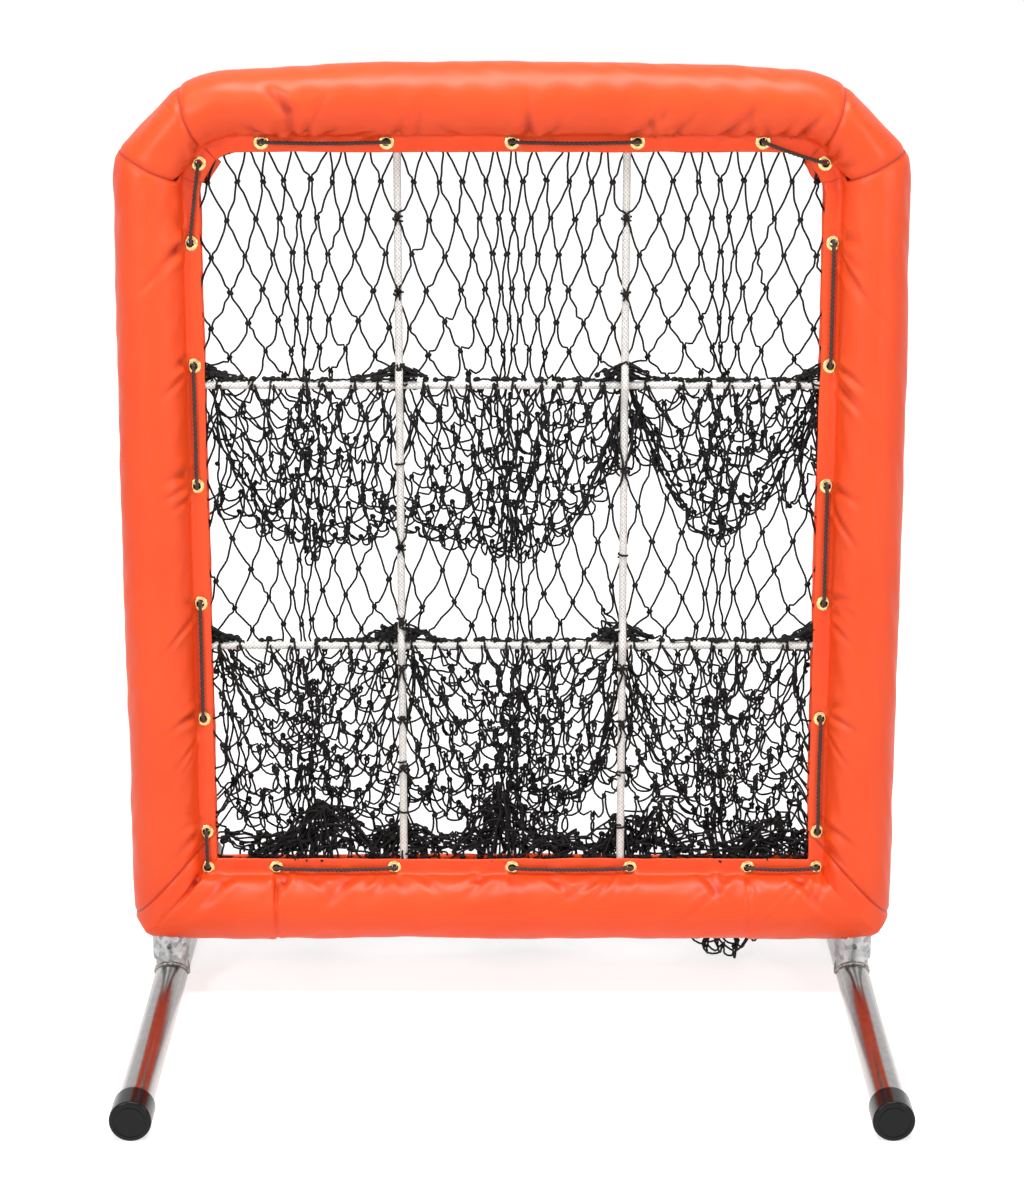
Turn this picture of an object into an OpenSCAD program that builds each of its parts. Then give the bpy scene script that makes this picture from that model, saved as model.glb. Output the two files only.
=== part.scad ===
// Nine-pocket throwing target net: a padded tube frame on two plug-in feet.
// Millimetres. X runs along the frame, Y from front to back, Z up. The origin lies on the
// ground, midway between the uprights, in the plane of the frame.

/* [Frame] */
// Distance between the centres of the two uprights
post_pitch = 889; // [800:1:1100]
// Distance between the centres of the top and bottom rails
rail_pitch = 1036; // [950:1:1300]
// Length of bare upright between the padding and the upright's lower end
bare_length = 27.15; // [24:0.05:80]
// Outer diameter of the hoop and rail tube
frame_tube_d = 47.6; // [45:0.1:50]
// Wall of the hoop and rail tube
frame_wall = 2.1; // [1.6:0.1:2.6]
// Centreline radius of the hoop's two top bends
bend_r = 114.3; // [105:0.1:140]

/* [Padding] */
// Outer diameter of the padded frame, over the cover
pad_d = 92; // [86:1:104]
// Wall of the vinyl cover
cover_wall = 1.5; // [1:0.1:2]
// Distance from the tube's centre to the free edge of the cover's laced flap
flap_reach = 63; // [60:1:70]
// Room between the foam and the cover, and between the foam and the tube
foam_gap = 0.3; // [0.2:0.1:0.8]
// Angle of the lower seam of each top corner gusset, above the horizontal
gusset_low_angle = 16; // [10:1:25]
// Angle of the upper seam of each top corner gusset, above the horizontal
gusset_high_angle = 57; // [50:1:75]
// Height of the side cover's lower seam above the corner's mitre
seam_rise = 36; // [25:1:60]
// Length cut off each leg of the cover's lower outer corner
tip_cut = 35; // [20:1:40]

/* [Lacing] */
// Distance from the tube's centre to the line of grommets
grommet_line = 50.5; // [49:0.5:54]
// Distance between grommets
grommet_pitch = 152.4; // [120:0.1:160]
// Height of the middle of each side's row of grommets above the bottom rail's centre
side_row_rise = 481; // [470:1:530]
// Outer diameter of a grommet
grommet_d = 18.4; // [15:0.1:19]
// Bore of a grommet
grommet_bore = 9; // [8:0.1:11]
// Thickness of a grommet's brass
grommet_wall = 0.9; // [0.6:0.1:1.2]
// Diameter of the lacing cord
lace_d = 5; // [3:0.1:6]
// Room between the lacing cord and the edge of the net, beside the running gap
lace_clear = 0.5; // [0.3:0.1:1]

/* [Ropes] */
// Diameter of the white ropes
rope_d = 10; // [8:0.5:12]
// Distance between the two vertical ropes
rope_pitch_x = 280; // [220:1:320]
// Distance between the two horizontal ropes
rope_pitch_z = 336; // [280:1:380]
// How far the middle of the rope grid lies below the middle of the frame
grid_drop = 2; // [0:0.5:20]
// Running gap between soft pieces that lie side by side
lay_gap = 0.35; // [0.3:0.05:0.5]
// Length over which a vertical rope bends out to pass a horizontal one
crossing_length = 68; // [60:1:100]

/* [Net pockets] */
// Depth of a pocket behind the frame's plane
pocket_depth = 145; // [120:1:170]
// Distance that a bag of the top row hangs below its rope
top_bag_drop = 235; // [180:1:250]
// Distance that a bag of the middle row hangs below its rope
middle_bag_drop = 280; // [200:1:290]
// Height of the lowest point of the bottom row's bags
bottom_bag_height = 34; // [20:1:60]
// How far the bottom row's bags rise clear of the bottom pad
pad_clear = 16; // [10:1:24]
// Thickness of the net
net_t = 2.4; // [2:0.1:3]
// Width of a net strand
strand_w = 5; // [4:0.5:7]

/* [Feet] */
// Outer diameter of the foot tube and its stub
foot_tube_d = 41.3; // [40:0.1:42]
// Wall of the foot tube and its stub
foot_wall = 1.65; // [1.2:0.05:2.5]
// Length of a foot over its two end caps
foot_length = 920; // [600:1:1100]
// Height of the stub above the foot tube
stub_length = 180; // [160:1:240]
// Outer diameter of an end cap
cap_d = 50; // [48:0.5:54]
// Length of an end cap
cap_length = 43; // [30:1:60]
// Thickness of an end cap's face
cap_face = 4; // [3:0.5:6]
// Leg of the weld round the foot of each stub
weld_leg = 2.9; // [2:0.1:4]

/* [Lock screws] */
// Diameter of a lock screw
screw_d = 6.2; // [5:0.1:8]
// Distance that a lock screw stands out of its upright
screw_stand = 3; // [2:0.5:6]
// Across flats of a lock screw's socket
screw_socket = 3; // [2.5:0.5:3.5]
// Height of a lock screw above its upright's lower end
screw_rise = 21; // [16:1:30]

/* [Hidden] */
$fn = 96;

// Feet, from the ground up
foot_r = foot_tube_d / 2;
cap_r = cap_d / 2;
foot_z = cap_r;
saddle_z = foot_z + foot_r;
weld_r = foot_r + weld_leg;
seat_gap = 0.3;
hoop_end_z = saddle_z + weld_leg + seat_gap;

// Frame
frame_r = frame_tube_d / 2;
pad_r = pad_d / 2;
rail_height = hoop_end_z + bare_length + pad_r;
post_x = post_pitch / 2;
top_z = rail_height + rail_pitch;
bend_x = post_x - bend_r;
bend_z = top_z - bend_r;

// Padding section. Its local X points from the tube's centre towards the window.
rope_r = rope_d / 2;
slot_half = rope_r + 0.6;
flap_half = slot_half + cover_wall;
flap_root = grommet_line - grommet_d / 2 - 0.4;
shoulder_angle = 50;
foam_r = pad_r - cover_wall - foam_gap;
bore_r = frame_r + foam_gap;
far = 2000;
// How far the two halves of the bottom cover's mitre run into each other
mitre_lap = 0.5;

// Lacing
grommet_hole_r = grommet_bore / 2 + grommet_wall + 0.1;
lace_r = lace_d / 2;
lace_y = flap_half + grommet_wall + lace_r + lay_gap;
corner_line = bend_r - grommet_line;
corner_angle = (gusset_low_angle + gusset_high_angle) / 2;
side_count = 6;
rail_count = 5;

// Ropes
rope_x = rope_pitch_x / 2;
rope_mid_z = (rail_height + top_z) / 2 - grid_drop;
upper_rope_z = rope_mid_z + rope_pitch_z / 2;
lower_rope_z = rope_mid_z - rope_pitch_z / 2;
crossing_y = rope_d + lay_gap;
tie_ring_r = frame_r + lay_gap + rope_r;
rope_end = tie_ring_r + rope_r + lay_gap;

// Net edges
net_half = net_t / 2;
hem_clear = grommet_line + lace_r + lace_clear + lay_gap;
hem_x = post_x - hem_clear;
hem_top_z = top_z - hem_clear;
hem_bottom_z = rail_height + hem_clear;
window_bottom_z = rail_height + flap_reach;
hem_width = flap_reach - hem_clear + strand_w / 2;
rope_side = rope_r + lay_gap;
wrap_room = 0.2;
rope_wrap = rope_r + lay_gap + net_half + wrap_room;
hem_lift = rope_wrap + net_half + wrap_room;
corner_hem_r = corner_line - lace_r - lace_clear - lay_gap;

// ---------- points and tubes ----------

function unit(v) = v / norm(v);

// Directions along a path, one for each of its points
function path_directions(path) = [
    for (i = [0 : len(path) - 1])
        unit(path[min(i + 1, len(path) - 1)] - path[max(i - 1, 0)])
];

// A sideways direction for each point, carried along the path without twist
function path_normals(dirs, start) = [
    for (i = 0, n = unit(start - dirs[0] * (start * dirs[0]));
         i < len(dirs);
         i = i + 1,
         n = i < len(dirs) ? unit(n - dirs[i] * (n * dirs[i])) : n)
        n
];

// A round tube of flat faces swept along a path
module swept_tube(path, radius, sides, start) {
    dirs = path_directions(path);
    normals = path_normals(dirs, start);
    rings = len(path);
    points = [
        for (i = [0 : rings - 1])
            for (k = [0 : sides - 1])
                path[i] + radius * (cos(360 * k / sides) * normals[i]
                    + sin(360 * k / sides) * cross(dirs[i], normals[i]))
    ];
    walls = [
        for (i = [0 : rings - 2])
            for (k = [0 : sides - 1])
                let (a = i * sides + k, b = i * sides + (k + 1) % sides)
                    for (face = [[a, a + sides, b + sides], [a, b + sides, b]]) face
    ];
    first_end = [for (k = [0 : sides - 1]) k];
    last_end = [for (k = [sides - 1 : -1 : 0]) (rings - 1) * sides + k];
    polyhedron(points = points, faces = concat(walls, [first_end, last_end]));
}

// A point on the smooth curve through a list of points, t running from 0 to len - 1
function curve_point(p, t) =
    let (last = len(p) - 1,
         i = min(floor(t), last - 1),
         f = t - i,
         a = p[max(i - 1, 0)],
         b = p[i],
         c = p[i + 1],
         d = p[min(i + 2, last)])
    0.5 * (2 * b + (c - a) * f + (2 * a - 5 * b + 4 * c - d) * f * f
        + (3 * b - a - 3 * c + d) * f * f * f);

// ---------- frame ----------

module at_left_post() {
    translate([-post_x, 0, 0]) children();
}

// Turns a flat outline, drawn in the frame's own plane, into a plate across Y
module frame_plate(outline, thickness) {
    rotate([90, 0, 0])
        linear_extrude(height = thickness, center = true)
            polygon(outline);
}

// A stretch of ring about the left top bend, between two angles above the horizontal. It is
// turned from its end on a straight run, so that the two faces meet exactly.
module left_bend(low_angle, high_angle) {
    from_top = high_angle == 90;
    translate([-bend_x, 0, bend_z])
        rotate([90, 0, 0])
            rotate([0, 0, from_top ? 90 : 180 - low_angle])
                rotate_extrude(angle = (high_angle - low_angle) * (from_top ? 1 : -1))
                    translate([bend_r, 0])
                        mirror([1, 0])
                            children();
}

module mirrored_too() {
    children();
    mirror([1, 0, 0]) children();
}

module tube_ring() {
    difference() {
        circle(r = frame_r);
        circle(r = frame_r - frame_wall);
    }
}

module hoop_tube() {
    color([0.72, 0.73, 0.74])
        difference() {
            union() {
                mirrored_too() {
                    translate([-post_x, 0, hoop_end_z])
                        linear_extrude(height = bend_z - hoop_end_z)
                            tube_ring();
                    left_bend(0, 90)
                        tube_ring();
                }
                translate([-bend_x, 0, top_z])
                    rotate([0, 90, 0])
                        linear_extrude(height = 2 * bend_x)
                            tube_ring();
            }
            mirrored_too()
                screw_hole();
        }
}

module screw_hole() {
    translate([-post_x, 0, hoop_end_z + screw_rise])
        rotate([90, 0, 0])
            cylinder(d = screw_d + 0.1, h = 2 * frame_r);
}

module bottom_rail() {
    color([0.72, 0.73, 0.74])
        difference() {
            translate([-post_x, 0, rail_height])
                rotate([0, 90, 0])
                    cylinder(r = frame_r, h = post_pitch);
            translate([-post_x, 0, rail_height])
                rotate([0, 90, 0])
                    cylinder(r = frame_r - frame_wall, h = post_pitch);
            mirrored_too()
                at_left_post()
                    cylinder(r = frame_r + 0.05, h = top_z / 2);
        }
}

// ---------- padding ----------

// Round pad outline, flattened where it faces the window
module pad_round(radius, root, half) {
    difference() {
        circle(r = radius);
        polygon([
            [radius * cos(shoulder_angle), radius * sin(shoulder_angle)],
            [root, half],
            [root, -half],
            [radius * cos(shoulder_angle), -radius * sin(shoulder_angle)],
            [2 * radius, -2 * radius],
            [2 * radius, 2 * radius]
        ]);
    }
}

module cover_outside() {
    pad_round(pad_r, flap_root, flap_half);
    translate([0, -flap_half])
        square([flap_reach, 2 * flap_half]);
}

module cover_inside() {
    pad_round(pad_r - cover_wall, flap_root - cover_wall, slot_half);
    translate([0, -slot_half])
        square([far, 2 * slot_half]);
}

module cover_section() {
    difference() {
        cover_outside();
        cover_inside();
    }
}

module foam_section() {
    difference() {
        pad_round(foam_r, flap_root - cover_wall - 2 * foam_gap, slot_half);
        circle(r = bore_r);
        translate([0, -slot_half])
            square([far, 2 * slot_half]);
    }
}

module left_run(low_z, high_z) {
    translate([-post_x, 0, low_z])
        linear_extrude(height = high_z - low_z)
            children();
}

module top_run(half_length) {
    translate([-half_length, 0, top_z])
        rotate([0, 90, 0])
            linear_extrude(height = 2 * half_length)
                children();
}

module bottom_run(half_length) {
    translate([half_length, 0, rail_height])
        rotate([0, -90, 0])
            linear_extrude(height = 2 * half_length)
                children();
}

// The frame's outline beside the left lower corner's mitre, on the side cover's side
module above_mitre(rise) {
    frame_plate([
        [-post_x - far, rail_height - far + rise],
        [-post_x + far, rail_height + far + rise],
        [-post_x - far, rail_height + far + rise]
    ], far);
}

module below_mitre(rise) {
    frame_plate([
        [-post_x - far, rail_height - far + rise],
        [-post_x + far, rail_height + far + rise],
        [-post_x + far, rail_height - far + rise]
    ], far);
}

// Everything outside the line that takes off the left lower corner's tip
module beyond_tip(inset) {
    leg = pad_r + far;
    frame_plate([
        [-post_x - pad_r + tip_cut - far + inset, rail_height - pad_r + far],
        [-post_x - pad_r + tip_cut + far + inset, rail_height - pad_r - far],
        [-post_x - leg, rail_height - leg]
    ], far);
}

module side_holes() {
    for (z = side_grommet_z)
        translate([-post_x + grommet_line, 0, z])
            rotate([90, 0, 0])
                cylinder(r = grommet_hole_r, h = 4 * flap_half, center = true);
}

module rail_holes(z) {
    for (x = rail_grommet_x)
        translate([x, 0, z])
            rotate([90, 0, 0])
                cylinder(r = grommet_hole_r, h = 4 * flap_half, center = true);
}

module corner_hole(place) {
    translate(place)
        rotate([90, 0, 0])
            cylinder(r = grommet_hole_r, h = 4 * flap_half, center = true);
}

module foam_left() {
    color([0.25, 0.25, 0.27])
        difference() {
            left_run(rail_height - pad_r, bend_z)
                foam_section();
            below_mitre(foam_gap);
            beyond_tip(cover_wall + foam_gap);
            translate([-post_x, 0, rail_height])
                rotate([0, 90, 0])
                    cylinder(r = bore_r, h = 2 * pad_r);
            for (z = [upper_rope_z, lower_rope_z])
                translate([-post_x, 0, z])
                    tie_groove();
        }
}

module foam_right() {
    mirror([1, 0, 0])
        foam_left();
}

module foam_corner_left() {
    color([0.25, 0.25, 0.27])
        left_bend(0, 90)
            foam_section();
}

module foam_corner_right() {
    mirror([1, 0, 0])
        foam_corner_left();
}

module foam_top() {
    color([0.25, 0.25, 0.27])
        difference() {
            top_run(bend_x)
                foam_section();
            for (x = [-rope_x, rope_x])
                translate([x, 0, top_z])
                    rotate([0, 90, 0])
                        tie_groove();
        }
}

module foam_bottom() {
    color([0.25, 0.25, 0.27])
        difference() {
            bottom_run(post_x + pad_r)
                foam_section();
            mirrored_too() {
                above_mitre(-foam_gap);
                beyond_tip(cover_wall + foam_gap);
                at_left_post()
                    cylinder(r = bore_r, h = rail_height + pad_r);
            }
            for (x = [-rope_x, rope_x])
                translate([x, 0, rail_height])
                    rotate([0, 90, 0])
                        tie_groove();
        }
}

module cover_left() {
    color([1, 0.33, 0.13]) {
        difference() {
            left_run(rail_height - pad_r, bend_z)
                cover_section();
            below_mitre(seam_rise);
            side_holes();
        }
        left_bend(0, gusset_low_angle)
            cover_section();
    }
}

module cover_right() {
    mirror([1, 0, 0])
        cover_left();
}

module gusset_left() {
    color([1, 0.36, 0.16])
        difference() {
            left_bend(gusset_low_angle, gusset_high_angle)
                cover_section();
            corner_hole(top_corner_grommet);
        }
}

module gusset_right() {
    mirror([1, 0, 0])
        gusset_left();
}

module cover_top() {
    color([1, 0.33, 0.13])
        difference() {
            union() {
                top_run(bend_x)
                    cover_section();
                mirrored_too()
                    left_bend(gusset_high_angle, 90)
                        cover_section();
            }
            rail_holes(top_z - grommet_line);
        }
}

// The left elbow's half below the side cover's seam, as a solid or as its inside, which runs on
// past the seam
module left_elbow_leg(low_z, past = 0) {
    difference() {
        left_run(low_z, rail_height + pad_r + seam_rise + flap_reach)
            children();
        below_mitre(-mitre_lap);
        above_mitre(seam_rise + past);
    }
}

module bottom_bar() {
    difference() {
        bottom_run(post_x + pad_r + 1)
            children();
        mirrored_too()
            above_mitre(mitre_lap);
    }
}

module cover_bottom() {
    color([1, 0.33, 0.13])
        difference() {
            union() {
                bottom_bar()
                    cover_outside();
                mirrored_too()
                    left_elbow_leg(rail_height - pad_r)
                        cover_outside();
            }
            difference() {
                union() {
                    bottom_bar()
                        cover_inside();
                    mirrored_too()
                        left_elbow_leg(rail_height - pad_r, cover_wall)
                            cover_inside();
                }
                mirrored_too()
                    beyond_tip(cover_wall);
            }
            mirrored_too() {
                beyond_tip(0);
                at_left_post()
                    cylinder(r = bore_r + 0.4, h = rail_height);
                corner_hole(bottom_corner_grommet);
            }
            rail_holes(rail_height + grommet_line);
        }
}

// ---------- grommets and lacing ----------

side_grommet_z = [
    for (i = [0 : side_count - 1])
        rail_height + side_row_rise + (i - (side_count - 1) / 2) * grommet_pitch
];
rail_grommet_x = [
    for (i = [0 : rail_count - 1])
        (i - (rail_count - 1) / 2) * grommet_pitch
];
top_corner_grommet = [
    -bend_x - corner_line * cos(corner_angle), 0, bend_z + corner_line * sin(corner_angle)
];
bottom_corner_grommet = [-post_x + grommet_line, 0, rail_height + grommet_line];

// Grommets of the left half in the order that the cord visits them, from the lower corner up
left_line = concat(
    [bottom_corner_grommet],
    [for (z = side_grommet_z) [-post_x + grommet_line, 0, z]],
    [top_corner_grommet]
);
function to_right(p) = [-p[0], p[1], p[2]];
last_left = len(left_line) - 1;
grommet_places = concat(
    left_line,
    [for (x = rail_grommet_x) [x, 0, top_z - grommet_line]],
    [for (i = [last_left : -1 : 0]) to_right(left_line[i])],
    [for (i = [rail_count - 1 : -1 : 0]) [rail_grommet_x[i], 0, rail_height + grommet_line]]
);

// Half section of a rolled brass eyelet: flange outside the flap, barrel through it
module grommet() {
    rotate_extrude()
        union() {
            translate([grommet_bore / 2, -cover_wall])
                square([grommet_wall, cover_wall + grommet_wall / 2]);
            translate([grommet_bore / 2, 0])
                square([(grommet_d - grommet_bore) / 2 - grommet_wall / 2, grommet_wall / 2]);
            translate([grommet_bore / 2 + grommet_wall, grommet_wall / 2])
                square([(grommet_d - grommet_bore) / 2 - 1.5 * grommet_wall, grommet_wall / 2]);
        }
}

module front_grommets() {
    color([0.80, 0.66, 0.36])
        for (place = grommet_places)
            translate(place - [0, flap_half, 0])
                rotate([90, 0, 0])
                    grommet();
}

module rear_grommets() {
    color([0.80, 0.66, 0.36])
        for (place = grommet_places)
            translate(place + [0, flap_half, 0])
                rotate([-90, 0, 0])
                    grommet();
}

// The cord's turning points: it goes through each grommet, then along the front or the back
places = len(grommet_places);
lace_turns = [
    for (i = [0 : places - 1])
        let (side = i % 2 == 0 ? 1 : -1)
            for (y = [side * lace_y, -side * lace_y])
                grommet_places[i] + [0, y, 0]
];
lace_round = 3.5;
lace_knot_r = 1.1 * lace_d;
turns = len(lace_turns);
// Both ends meet at the back, in a knot halfway between the last grommet and the first
lace_knot = (lace_turns[0] + lace_turns[turns - 1]) / 2;
function toward(a, b, step) = a + unit(b - a) * step;
lace_path = concat(
    [lace_knot],
    [
        for (i = [0 : turns - 1])
            let (before = i == 0 ? lace_knot : lace_turns[i - 1],
                 here = lace_turns[i],
                 after = i == turns - 1 ? lace_knot : lace_turns[i + 1])
                for (p = [toward(here, before, lace_round), toward(here, after, lace_round)]) p
    ],
    [lace_knot + [lace_d + lay_gap, 0, 0]]
);

module lacing_cord() {
    color([0.16, 0.11, 0.10]) {
        swept_tube(lace_path, lace_r, 8, [0.3, 0, 1]);
        translate(lace_knot + [lace_r, lace_knot_r - lace_r, 0])
            sphere(r = lace_knot_r, $fn = 24);
    }
}

// ---------- ropes ----------

// How far a vertical rope stands out at a height, to pass in front of a horizontal one
function crossing_bump(dz) =
    let (half = crossing_length / 2)
    abs(dz) < half ? crossing_y * (1 + cos(180 * dz / half)) / 2 : 0;
bump_steps = [-1, -0.8, -0.6, -0.4, -0.2, 0, 0.2, 0.4, 0.6, 0.8, 1];
rope_low_z = rail_height + rope_end;
rope_high_z = top_z - rope_end;
rope_heights = concat(
    [rope_low_z],
    [for (z = [lower_rope_z, upper_rope_z]) for (s = bump_steps) z + s * crossing_length / 2],
    [rope_high_z]
);

module rope_vertical(x) {
    path = [
        for (z = rope_heights)
            [x, -crossing_bump(z - lower_rope_z) - crossing_bump(z - upper_rope_z), z]
    ];
    color([0.93, 0.92, 0.88])
        swept_tube(path, rope_r, 10, [1, 0, 0]);
}

module rope_vertical_left() {
    rope_vertical(-rope_x);
}

module rope_vertical_right() {
    rope_vertical(rope_x);
}

module rope_horizontal(z) {
    color([0.93, 0.92, 0.88])
        translate([-post_x + rope_end, 0, z])
            rotate([0, 90, 0])
                cylinder(r = rope_r, h = 2 * (post_x - rope_end));
}

module rope_horizontal_upper() {
    rope_horizontal(upper_rope_z);
}

module rope_horizontal_lower() {
    rope_horizontal(lower_rope_z);
}

// One turn of rope round a frame tube
module tie_ring() {
    rotate_extrude()
        translate([tie_ring_r, 0])
            circle(r = rope_r);
}

module tie_groove() {
    rotate_extrude()
        translate([tie_ring_r, 0])
            circle(r = rope_r + foam_gap);
}

module rope_ties() {
    color([0.93, 0.92, 0.88]) {
        mirrored_too()
            for (z = [upper_rope_z, lower_rope_z])
                translate([-post_x, 0, z])
                    tie_ring();
        for (x = [-rope_x, rope_x])
            for (z = [top_z, rail_height])
                translate([x, 0, z])
                    rotate([0, 90, 0])
                        tie_ring();
    }
}

// ---------- net pockets ----------

// Strands run along the diagonals of a grid. Gaps sit on the grid points whose column and row
// add up to an odd number, knots on the others.
net_columns = 8;
net_rows = 10;

// A bag's profile: depth as a share of the pocket's, and height, where 0 is the pocket's top,
// 1 its rope and 2 the bottom of the bag
bag_shape = [
    [0, 0], [0.07, 0.15], [0.20, 0.36], [0.38, 0.60], [0.65, 0.85], [0.90, 1.11], [1.02, 1.43],
    [1.00, 1.75], [0.77, 2.00], [0.58, 1.91], [0.43, 1.61], [0.25, 1.25], [0.04, 1.01]
];
low_bag_shape = [
    [0, 0], [0.055, 0.17], [0.165, 0.41], [0.29, 0.67], [0.43, 0.90], [0.63, 1.18], [0.81, 1.57],
    [0.76, 2.00], [0.59, 1.90]
];
function bag_height(w, top, rope, drop) = w <= 1 ? top - w * (top - rope) : rope - (w - 1) * drop;
function bag_profile(shape, top, rope, drop) = [
    for (s = shape) [s[0] * pocket_depth, bag_height(s[1], top, rope, drop)]
];

// The top row, the middle row, then the bottom row, whose net rises behind the bottom pad and
// enters the flap from above
row_top = [hem_top_z, upper_rope_z - rope_side, lower_rope_z - rope_side];
row_end = [upper_rope_z, lower_rope_z, hem_bottom_z];
row_profile = [
    bag_profile(bag_shape, row_top[0], row_end[0], top_bag_drop),
    bag_profile(bag_shape, row_top[1], row_end[1], middle_bag_drop),
    concat(
        bag_profile(low_bag_shape, row_top[2], row_end[2], row_end[2] - bottom_bag_height),
        [
            [pad_r + pad_clear, rail_height - 0.75 * pad_clear],
            [pad_r + 0.6 * rope_r, rail_height + pad_r],
            [0.5 * pad_r, window_bottom_z + pad_clear],
            [0.6 * rope_r, window_bottom_z + 0.5 * pad_clear],
            [0, row_end[2]]
        ]
    )
];

// Where a row of the net lies along its pocket's profile: a narrow hem at each end, the rest even
hem_share = 0.015;
low_hem_share = 0.06;
function row_share(j, row) =
    let (last_share = row == 2 ? low_hem_share : hem_share)
    j == 0 ? 0
    : j == net_rows ? 1
    : hem_share + (1 - hem_share - last_share) * (j - 1) / (net_rows - 2);

// Where a column of the net lies across its pocket: a narrow hem at each edge, the rest even
function column_x(i, from_x, to_x, hem_a) =
    i == 0 ? from_x
    : i == net_columns ? to_x
    : from_x + hem_a + (to_x - from_x - hem_a - hem_width) * (i - 1) / (net_columns - 2);

// How much of the pocket's full shape a column takes
function bulge(x, from_x, to_x) =
    let (share = (x - from_x) / (to_x - from_x))
    share <= 0 || share >= 1 ? 0 : pow(sin(180 * share), 0.7);

// Keeps a point of the outer top corner inside the rounded corner of the laced flap
function in_corner(p) =
    let (dx = -bend_x - p[0], dz = p[2] - bend_z, d = sqrt(dx * dx + dz * dz))
    dx > 0 && dz > 0 && d > corner_hem_r
        ? [-bend_x - dx * corner_hem_r / d, p[1], bend_z + dz * corner_hem_r / d]
        : p;

// Where the net ends at its rope: over it inside the flap, and behind it in the open
function rope_end_point(row, i, outer) =
    row == 2 ? [0, row_end[2]]
    : outer && i == 0 ? [0, row_end[row] + rope_wrap]
    : outer && i == 1 ? hem_lift * [cos(60), sin(60)] + [0, row_end[row]]
    : [rope_wrap, row_end[row]];

function net_point(i, j, row, from_x, to_x, outer) =
    let (x = column_x(i, from_x, to_x, hem_width),
         t = row_share(j, row),
         open_from = outer ? from_x + hem_width : from_x,
         b = bulge(x, open_from, to_x),
         full = curve_point(row_profile[row], t * (len(row_profile[row]) - 1)),
         last = rope_end_point(row, i, outer),
         flat = [last[0] * t, row_top[row] + (last[1] - row_top[row]) * t],
         p = j == net_rows ? last : flat + b * (full - [0, flat[1]]))
    in_corner([x, p[0], p[1]]);

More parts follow.
